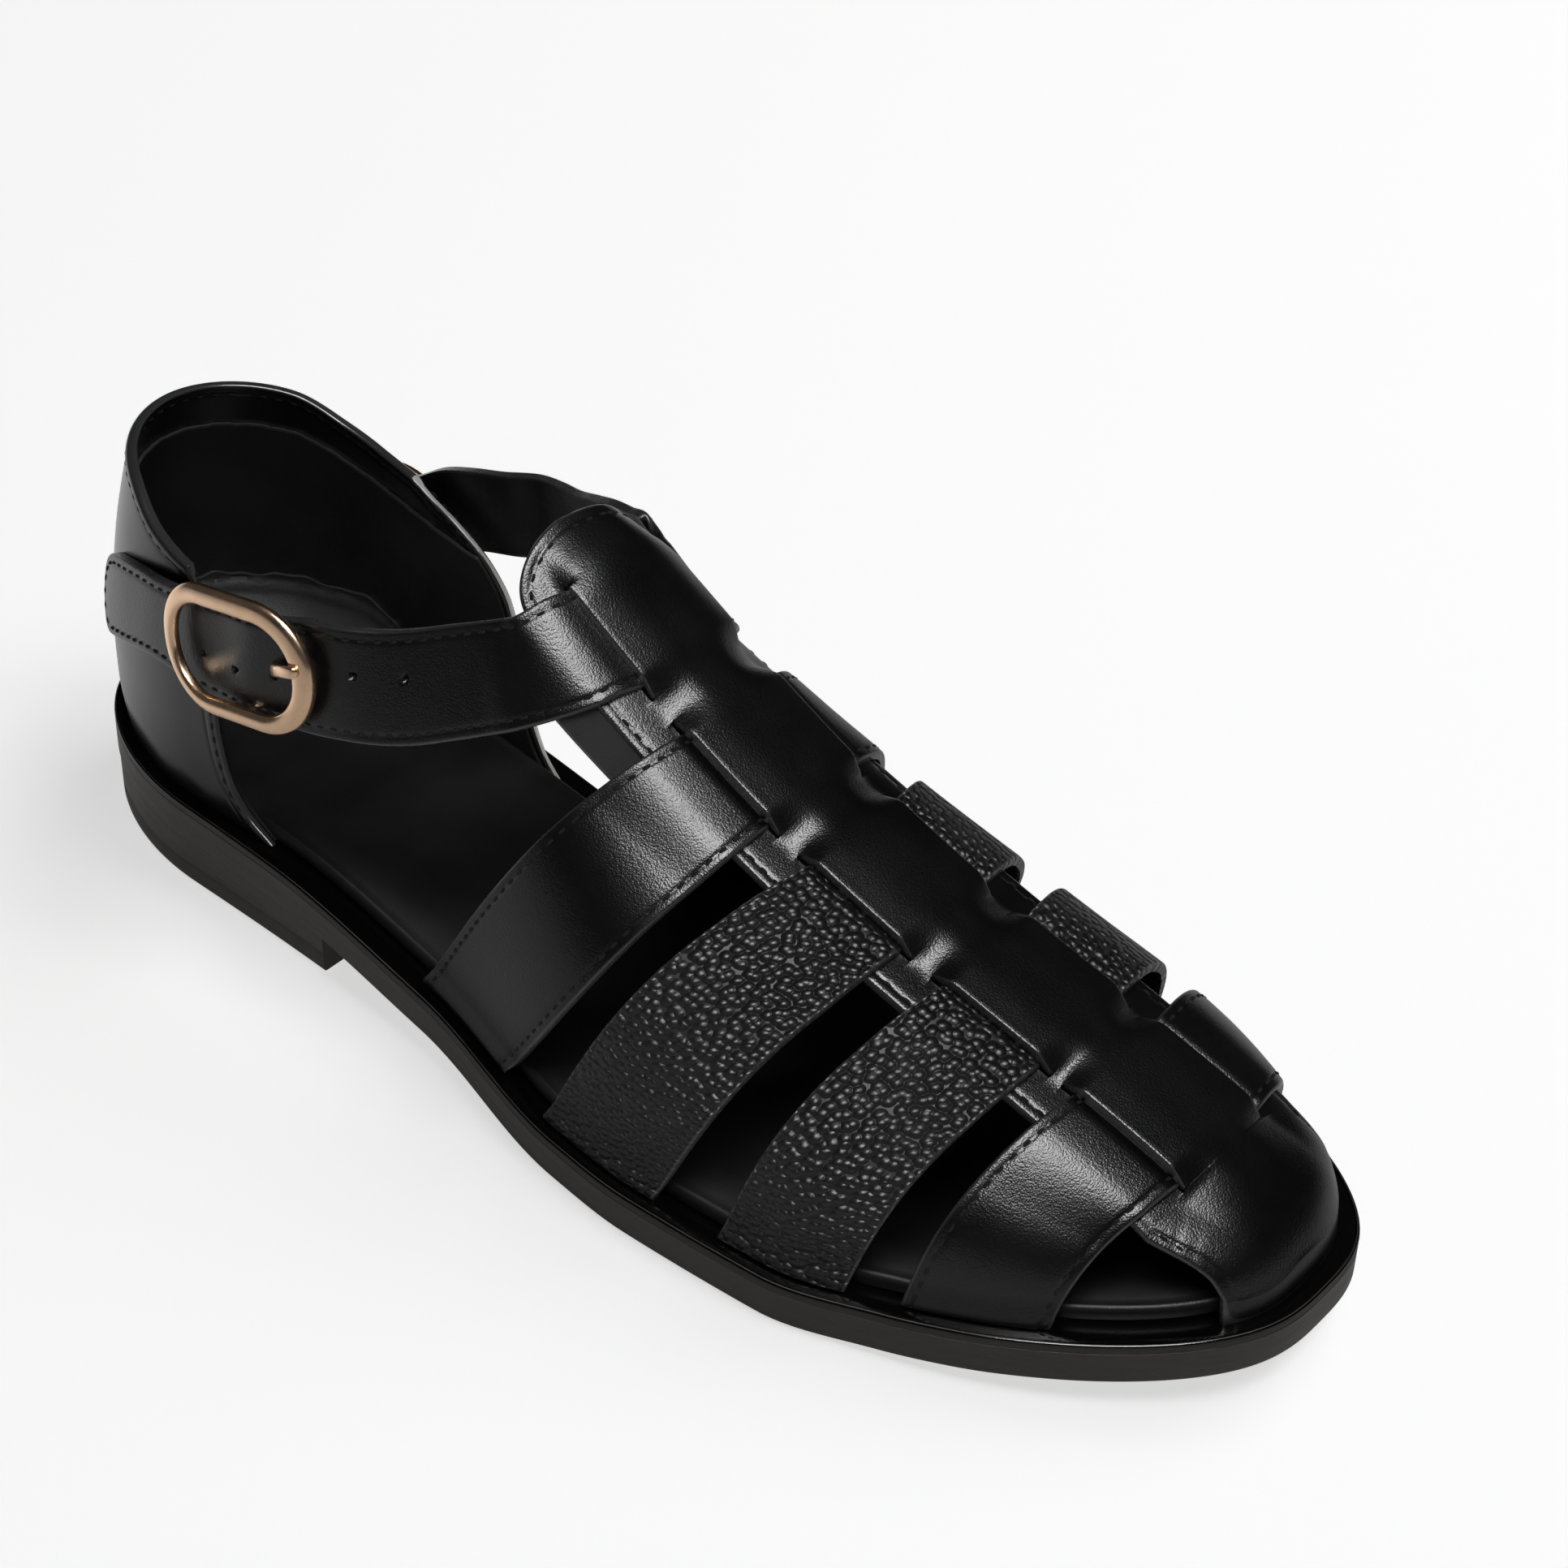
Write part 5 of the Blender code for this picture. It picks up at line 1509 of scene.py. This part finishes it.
def counter_grid(span, share, extra):
    """Points of the counter. span runs -1 to 1 from the lateral front edge round the heel to the
    medial one; share is 0 at the welt and 1 at the top line; extra moves inward. The straight
    sides run to the front edge's own line, and the back turns by angle."""
    side = both(span < 0, LATERAL, MEDIAL)
    reach = np.abs(span)
    turn = np.clip(reach / COUNTER_TURN, 0, 1) * math.pi / 2
    along = np.clip((reach - COUNTER_TURN) / (1 - COUNTER_TURN), 0, 1)
    straight = HEEL_ROUND + (sided(COUNTER_FRONT, "", side, share) - HEEL_ROUND) * along
    line = both(reach > COUNTER_TURN, straight, HEEL_ROUND * (1 - np.cos(turn)))
    foot = sole_top(line)
    height = (smooth(TOPLINE, "height", line) - foot) * share
    back = SOLE["rim"][0] + smooth(LEAN, "back", height) + extra
    x = both(reach > COUNTER_TURN, straight, HEEL_ROUND - (HEEL_ROUND - back) * np.cos(turn))
    inset = smooth(SOLE, "rim", x) + smooth(LEAN, "side", height) + extra
    return np.stack([x, half_outline(x, side, back, inset, 0.0), foot + height], -1)


class SANDAL_OT_counter(bpy.types.Operator):
    """Heel counter with its rolled collar, lining, stitching and buckle tab"""

    bl_idname = "sandal.counter"
    bl_label = "Heel counter"

    def execute(self, context):
        made = finishes()
        run, rise = EDGE_LINES / COUNTER_RUN, EDGE_LINES / COUNTER_RISE
        inner_run = 1 - COUNTER_EDGE / COUNTER_RUN
        span = np.concatenate([run - 1, np.linspace(-inner_run, inner_run, 230), 1 - run[::-1]])
        inner_rise = 1 - COUNTER_EDGE / COUNTER_RISE
        share = np.concatenate([np.linspace(0, inner_rise, 70), 1 - rise[::-1]])
        span, share = np.broadcast_arrays(span[:, None], share[None, :])
        base = counter_grid(span, share, COUNTER_WALL / 2)
        out = counter_grid(span, share, 0.0) - counter_grid(span, share, COUNTER_WALL)
        normal = unit(out * LEVEL + 1e-9)
        half = np.minimum(np.linalg.norm(out * LEVEL, axis=-1) / 2, 1.05)
        distance = rim_distance(base, [base[0], base[-1], base[:, -1]])
        bead = COLLAR_BEAD * (1 - ease((rim_distance(base, [base[:, -1]]) - 1.8) / 0.8))
        trough = STITCH_TROUGH * hump(distance, scene_sizes().stitch_inset + COUNTER_STITCH, 0.45)
        lost = rolled(distance, 1.0) * 0.95 + trough
        outer = base + normal * (half + bead - lost + self.waves(base))[..., None]
        inner = base - normal * (half + bead * 0.6 - lost)[..., None]
        # Faces along the collar's top edge get the near-white material, partly raw edge and partly
        # a painted highlight.
        raw = np.tile((rim_distance(base, [base[-1]]) < 0.13).ravel(), 2)
        raw = raw[shell_faces(*span.shape)].all(-1)
        add_sheet("heel_counter", outer, inner, [made["counter leather"], made["raw edge"]],
                  "smooth_leather", base, distance, replaces=["heel_counter"],
                  second=raw.astype(int))
        self.stitch(made)
        self.lining(made)
        self.buckle_tab(made)
        return {"FINISHED"}

    def waves(self, base):
        """Slow unevenness of the pulled leather: a faint band of ripples above the welt."""
        x, z = base[..., 0], base[..., 2] - sole_top(base[..., 0])
        ripple = np.sin(x * 0.42 + 0.8 * np.sin(x * 0.13)) * hump(z, 2.0, 5.0)
        return 0.10 * ripple + 0.10 * np.sin(z * 0.16 + x * 0.05)

    def stitch(self, made):
        """One row outside and one inside, parallel to the collar and the two front edges."""
        inset = scene_sizes().stitch_inset + COUNTER_STITCH
        up = np.linspace(0.04, 1 - inset / COUNTER_RISE, 60)
        end = 1 - inset / COUNTER_RUN
        span = np.concatenate([0 * up - end, np.linspace(-end, end, 260), 0 * up + end])
        share = np.concatenate([up, np.full(260, up[-1]), up[::-1]])
        outer = counter_grid(span, share, 0.0)
        inner = counter_grid(span, share, COUNTER_WALL)
        normal = unit((outer - inner) * LEVEL)
        lines = [(outer - normal * 0.12, normal), (inner + normal * 0.12, -normal)]
        add_stitches("heel_counter_stitches", lines, made["thread"])

    def lining(self, made):
        """Sheet inside the counter from the sole up to a raw edge below the collar facing."""
        span = np.linspace(-0.985, 0.985, 200)[:, None]
        up = np.append(np.linspace(0, 0.96, 30), [0.965, 0.98, 0.99, 0.996, 1.0])
        ragged = 0.10 * np.sin(span * 61.0) + 0.06 * np.sin(span * 137.0 + 1.0)
        top = 1 - (COLLAR_FACING + ragged + 2.5 * ease((-span - 0.2) / 0.5)
                   + 2.0 * ease((np.abs(span) - 0.8) / 0.2)) / COUNTER_RISE
        share = up[None, :] * top
        span = np.broadcast_to(span, share.shape)
        outer = counter_grid(span, share, COUNTER_WALL + 0.02)
        inner = counter_grid(span, share, COUNTER_WALL + LINING_WALL)
        add_sheet("heel_lining", inner, outer, [made["lining leather"]], "lining_leather", inner,
                  rim_distance(inner, [inner[:, -1]]))

    def buckle_tab(self, made):
        """Short strap from the counter's lateral edge forward to the bar, round it and back."""
        middle, forward, up, outward = buckle_axes(LATERAL)
        starts = counter_grid(np.full(2, -0.93), np.array([0.60, 0.80]), -0.2)
        turn = np.linspace(0, math.pi, 15)[:, None]
        radius = BAR_RADIUS + 0.9
        wrap = (middle + forward * (BAR_AHEAD + np.sin(turn) * radius)
                + outward * (np.cos(turn) * radius - BAR_IN))
        share = np.linspace(0, 1, 14)[:, None]
        edges = []
        for start, rise in zip(starts, (-BUCKLE_TAB_HALF, BUCKLE_TAB_HALF)):
            loop = wrap + up * rise
            end = start - outward * 1.6
            edges.append(np.concatenate([start + (loop[0] - start) * share[:-1], loop,
                                         loop[-1] + (end - loop[-1]) * share[1:]]))
        low, high = edges[0][:, None], edges[1][:, None]
        grid = low + (high - low) * np.linspace(0, 1, 13)[None, :, None]
        normal = unit(np.cross(np.gradient(grid, axis=0), np.gradient(grid, axis=1)))
        if np.dot(normal[3, 6], outward) < 0:
            normal = -normal
        top = np.full(grid.shape[:2], BUCKLE_TAB_WALL / 2)
        leather_panel("buckle_tab", grid, normal, top, -top, [grid[:, 0], grid[:, -1]],
                      made["upper leather"], stitched=False)


# ---------------------------------------------------------------- buckles

def ring_line(count=14):
    """Middle line of the frame: a rectangle with round corners, with its outward directions."""
    turn = np.radians(np.linspace(0, 90, count))
    line = []
    for sx, sy, start in ((1, 1, 0), (-1, 1, 90), (-1, -1, 180), (1, -1, 270)):
        angle = turn + math.radians(start)
        cx, cy = sx * (FRAME_LONG / 2 - FRAME_CORNER), sy * (FRAME_TALL / 2 - FRAME_CORNER)
        line.append(np.stack([cx + FRAME_CORNER * np.cos(angle), cy + FRAME_CORNER * np.sin(angle),
                              np.cos(angle), np.sin(angle)], -1))
    return np.concatenate(line)


class SANDAL_OT_buckles(bpy.types.Operator):
    """Domed buckle frames with their bars and prongs"""

    bl_idname = "sandal.buckles"
    bl_label = "Buckles"

    def execute(self, context):
        made = finishes()
        for side in SIDES:
            self.ring(side, made["rose gold"])
            self.prong(side, made["rose gold"])
        return {"FINISHED"}

    def ring(self, side, metal):
        """Ring: a domed face over a flat back, carried round the middle line; and the bar, a round
        rod that dips behind the band."""
        middle, forward, up, outward = buckle_axes(side)
        angle = circle(28)
        wide = squared(np.cos(angle), 0.85) * FRAME_FACE / 2
        deep = squared(np.sin(angle), both(np.sin(angle) > 0, 1.0, 0.5)) * FRAME_DEPTH / 2
        line = ring_line()
        share = 1 + 0.22 * line[:, 2:3] + 0.12 * line[:, 3:]
        wide = wide * share + (1 - share) * FRAME_FACE / 2
        u = line[:, :1] + line[:, 2:3] * wide
        v = line[:, 1:2] + line[:, 3:] * wide
        bow = FRAME_BOW * (1 - (u / (FRAME_LONG / 2)) ** 2)
        points = (middle + forward * u[..., None] + up * v[..., None]
                  + outward * (FRAME_OUT + bow + deep)[..., None])
        rows, columns = u.shape
        ring = grid_faces(rows + 1, columns, wrap=True) % (rows * columns)
        path = []
        levels = (FRAME_OUT + FRAME_BOW - 0.4, FRAME_OUT - 1.6, 0.0, 0.9 - BAR_IN, -BAR_IN)
        for sign, insets in BAR_LEGS.items():
            leg = list(zip(insets, levels))[::sign]
            path += [middle + forward * BAR_AHEAD + up * sign * (FRAME_TALL / 2 - inset)
                     + outward * level for inset, level in leg]
        turn = circle(14)
        bar = tube(path, forward, np.stack([np.cos(turn), np.sin(turn)], -1) * BAR_RADIUS)
        quads, threes = capped(len(path), 14)
        count = rows * columns
        name = "buckle_frame_" + SIDES[side]
        add_mesh(name, np.concatenate([points.reshape(-1, 3), bar.reshape(-1, 3)]),
                 [np.concatenate([ring, quads + count]), threes + count], [metal], "rose_gold",
                 [name], angle=50)

    def prong(self, side, metal):
        """Flat prong: round the bar, up through its hole and onto the front of the frame."""
        middle, forward, up, outward = buckle_axes(side)
        rest = FRAME_OUT + FRAME_DEPTH / 2 + 0.62
        front = FRAME_LONG / 2
        turn = np.linspace(-2.6, 1.2, 12)
        hook = [(BAR_AHEAD + 1.75 * math.sin(t), -BAR_IN - 1.75 * math.cos(t)) for t in turn]
        route = hook + [(BAR_AHEAD + 4.4, -1.9), (BAR_AHEAD + 6.0, -1.2), (8.0, 0.2), (8.5, 1.5),
                        (9.4, 2.6), (11.4, 3.4), (front - 4.0, rest - 0.3),
                        (front - 2.4, rest - 0.05), (front - 1.2, rest),
                        (front - 0.6, rest - 0.15), (front - 0.3, rest - 0.45)]
        u, n = np.array(route).T[:, :, None]
        path = middle + forward * u + outward * n + up * (2.6 * ease((u - 6.0) / 11.0) - 0.8)
        angle = circle(16)
        shape = np.stack([squared(np.cos(angle), 0.6) * 1.3, squared(np.sin(angle), 0.7) * 0.6], -1)
        size = np.ones(len(path))
        size[-3:] = (0.95, 0.8, 0.45)
        points = tube(path, up, shape[None] * size[:, None, None])
        quads, threes = capped(len(path), 16)
        name = "buckle_prong_" + SIDES[side]
        add_mesh(name, points.reshape(-1, 3), [quads, threes], [metal], "rose_gold", [name],
                 angle=50)


# ---------------------------------------------------------------- stage

AZIMUTH, ELEVATION, ROLL = 39.02, 37.69, 1.66
TARGET = (142.5, 0.0, 20.0)
PAN = (22.6, 28.4)
DISTANCE = 648.2
LENS = 79.12
SENSOR = 36.0
SKY = 0.08                # strength of the plain sky
SKY_LOBES = (             # azimuth, elevation, cosine of the edge and strength
    (55.0, 35.0, 0.55, 0.37),
    (-68.0, 16.0, 0.60, 0.7),
)
SOFTBOXES = {             # azimuth, elevation, distance, size and power
    "key softbox": (104.0, 63.0, 2.4, 1.0, 13.0),
    "fill softbox": (170.0, 50.0, 2.4, 1.6, 12.0),
    "reflected softbox": (38.0, 69.5, 0.78, 0.34, 7.5),
}
FLOOR_HALF = 4.0
FLOOR_GLOW = 0.63
MIRRORED_X = (-0.22, -0.08, 0.52, 0.06)  # the floor's glow in reflections falls along the shoe
MIRRORED_Y = (-0.24, -0.06, 0.1, 1.0)    # and away from its outer side


def heading(azimuth, elevation):
    """Unit vector towards an azimuth, counted from the lateral side, and an elevation."""
    a, e = math.radians(azimuth), math.radians(elevation)
    return math.sin(a) * math.cos(e), -math.cos(a) * math.cos(e), math.sin(e)


def looking(back):
    """Rotation whose z axis is back and whose x axis is level."""
    back = unit(np.asarray(back, float))
    right = unit(np.cross([0, 0, 1.0], back))
    return np.stack([right, np.cross(back, right), back], 1)


class SANDAL_OT_stage(bpy.types.Operator):
    """Floor, soft lights and camera"""

    bl_idname = "sandal.stage"
    bl_label = "Stage"

    def execute(self, context):
        self.floor(context)
        self.lights(context)
        self.camera(context)
        return {"FINISHED"}

    def floor(self, context):
        """A white floor that glows, with a glow of its own in the shoe's reflections."""
        mesh = bpy.data.meshes.new("floor")
        corners = ((-1, -1), (1, -1), (1, 1), (-1, 1))
        mesh.from_pydata([(x * FLOOR_HALF, y * FLOOR_HALF, 0) for x, y in corners], [],
                         [(0, 1, 2, 3)])
        material, tree, place = new_material("pale floor")
        colour = tuple(context.scene.sandal_colours.floor)
        spot = split(tree, place)
        glossy = put(tree, "LightPath").outputs["Is Glossy Ray"]
        mirrored = times(tree, ranged(tree, spot["X"], *MIRRORED_X),
                         ranged(tree, spot["Y"], *MIRRORED_Y))
        lit = times(tree, math_node(tree, "SUBTRACT", 1.0, glossy), FLOOR_GLOW)
        glow = math_node(tree, "ADD", lit, times(tree, glossy, mirrored))
        tint = blended(tree, noise(tree, place, 3.0), colour, scaled(colour, 0.995))
        mesh.materials.append(finished(material, Base_Color=tint, Roughness=0.9,
                                       Specular_IOR_Level=0.1, Emission_Color=(1.0, 1.0, 1.0),
                                       Emission_Strength=glow))
        floor = bpy.data.objects.new("floor", mesh)
        context.scene.collection.objects.link(floor)

    def lights(self, context):
        """A softbox close above the toe for the reflections alone, two that leave no reflection and
        set the shadows, and a dim sky that brightens in two places."""
        for name, (azimuth, elevation, distance, size, power) in SOFTBOXES.items():
            data = bpy.data.lights.new(name, "AREA")
            data.shape = "RECTANGLE"
            data.size = data.size_y = size
            data.energy = power
            back = np.array(heading(azimuth, elevation))
            lamp = self.place(context, name, data, looking(back), back * distance)
            lamp.visible_diffuse = name != "reflected softbox"
            lamp.visible_glossy = not lamp.visible_diffuse
        world = bpy.data.worlds.new("studio")
        context.scene.world = world
        world.use_nodes = True
        tree = world.node_tree
        total = SKY
        for azimuth, elevation, edge, bright in SKY_LOBES:
            toward = put(tree, "VectorMath", operation="DOT_PRODUCT",
                         in_0=put(tree, "TexCoord").outputs["Generated"],
                         in_1=heading(azimuth, elevation)).outputs["Value"]
            total = math_node(tree, "ADD", ranged(tree, toward, edge, 1.0, 0.0, bright), total)
        feed(tree.nodes["Background"].inputs["Strength"], total)
        context.scene.view_settings.view_transform = "Standard"

    def camera(self, context):
        lens = bpy.data.cameras.new("camera")
        lens.sensor_width = SENSOR
        lens.lens = LENS
        lens.clip_start = 0.01
        r = math.radians(ROLL)
        back = np.array(heading(AZIMUTH, ELEVATION))
        level = looking(back)
        right = math.cos(r) * level[:, 0] + math.sin(r) * level[:, 1]
        up = -math.sin(r) * level[:, 0] + math.cos(r) * level[:, 1]
        at = (np.array(TARGET) - ORIGIN + PAN[0] * right + PAN[1] * up + DISTANCE * back) * MM
        turn = np.stack([right, up, back], 1)
        context.scene.camera = self.place(context, "camera", lens, turn, at)

    def place(self, context, name, data, turn, at):
        made = bpy.data.objects.new(name, data)
        context.scene.collection.objects.link(made)
        matrix = np.eye(4)
        matrix[:3, :3] = turn
        matrix[:3, 3] = at
        made.matrix_world = Matrix(matrix)
        return made


# ---------------------------------------------------------------- add-on

OPERATORS = (SANDAL_OT_sole, SANDAL_OT_insole, SANDAL_OT_counter, SANDAL_OT_strip, SANDAL_OT_straps,
             SANDAL_OT_bands, SANDAL_OT_buckles, SANDAL_OT_stage)


class SANDAL_PT_sandal(bpy.types.Panel):
    """Lists the sandal's sizes, colours and pieces"""

    bl_label = "Fisherman sandal"
    bl_idname = "SANDAL_PT_sandal"
    bl_space_type = "VIEW_3D"
    bl_region_type = "UI"
    bl_category = "Sandal"

    def draw(self, context):
        for group in (context.scene.sandal_sizes, context.scene.sandal_colours):
            box = self.layout.box()
            for key in group.__annotations__:
                box.prop(group, key)
        for operator in OPERATORS:
            self.layout.operator(operator.bl_idname)


CLASSES = (SandalSizes, SandalColours, *OPERATORS, SANDAL_PT_sandal)


def register():
    for kind in CLASSES:
        bpy.utils.register_class(kind)
    bpy.types.Scene.sandal_sizes = bpy.props.PointerProperty(type=SandalSizes)
    bpy.types.Scene.sandal_colours = bpy.props.PointerProperty(type=SandalColours)


def unregister():
    del bpy.types.Scene.sandal_colours
    del bpy.types.Scene.sandal_sizes
    for kind in reversed(CLASSES):
        bpy.utils.unregister_class(kind)


def main():
    """Registers the add-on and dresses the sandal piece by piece."""
    register()
    for operator in OPERATORS:
        getattr(bpy.ops.sandal, operator.bl_idname.split(".")[1])()


if __name__ == "__main__":
    main()
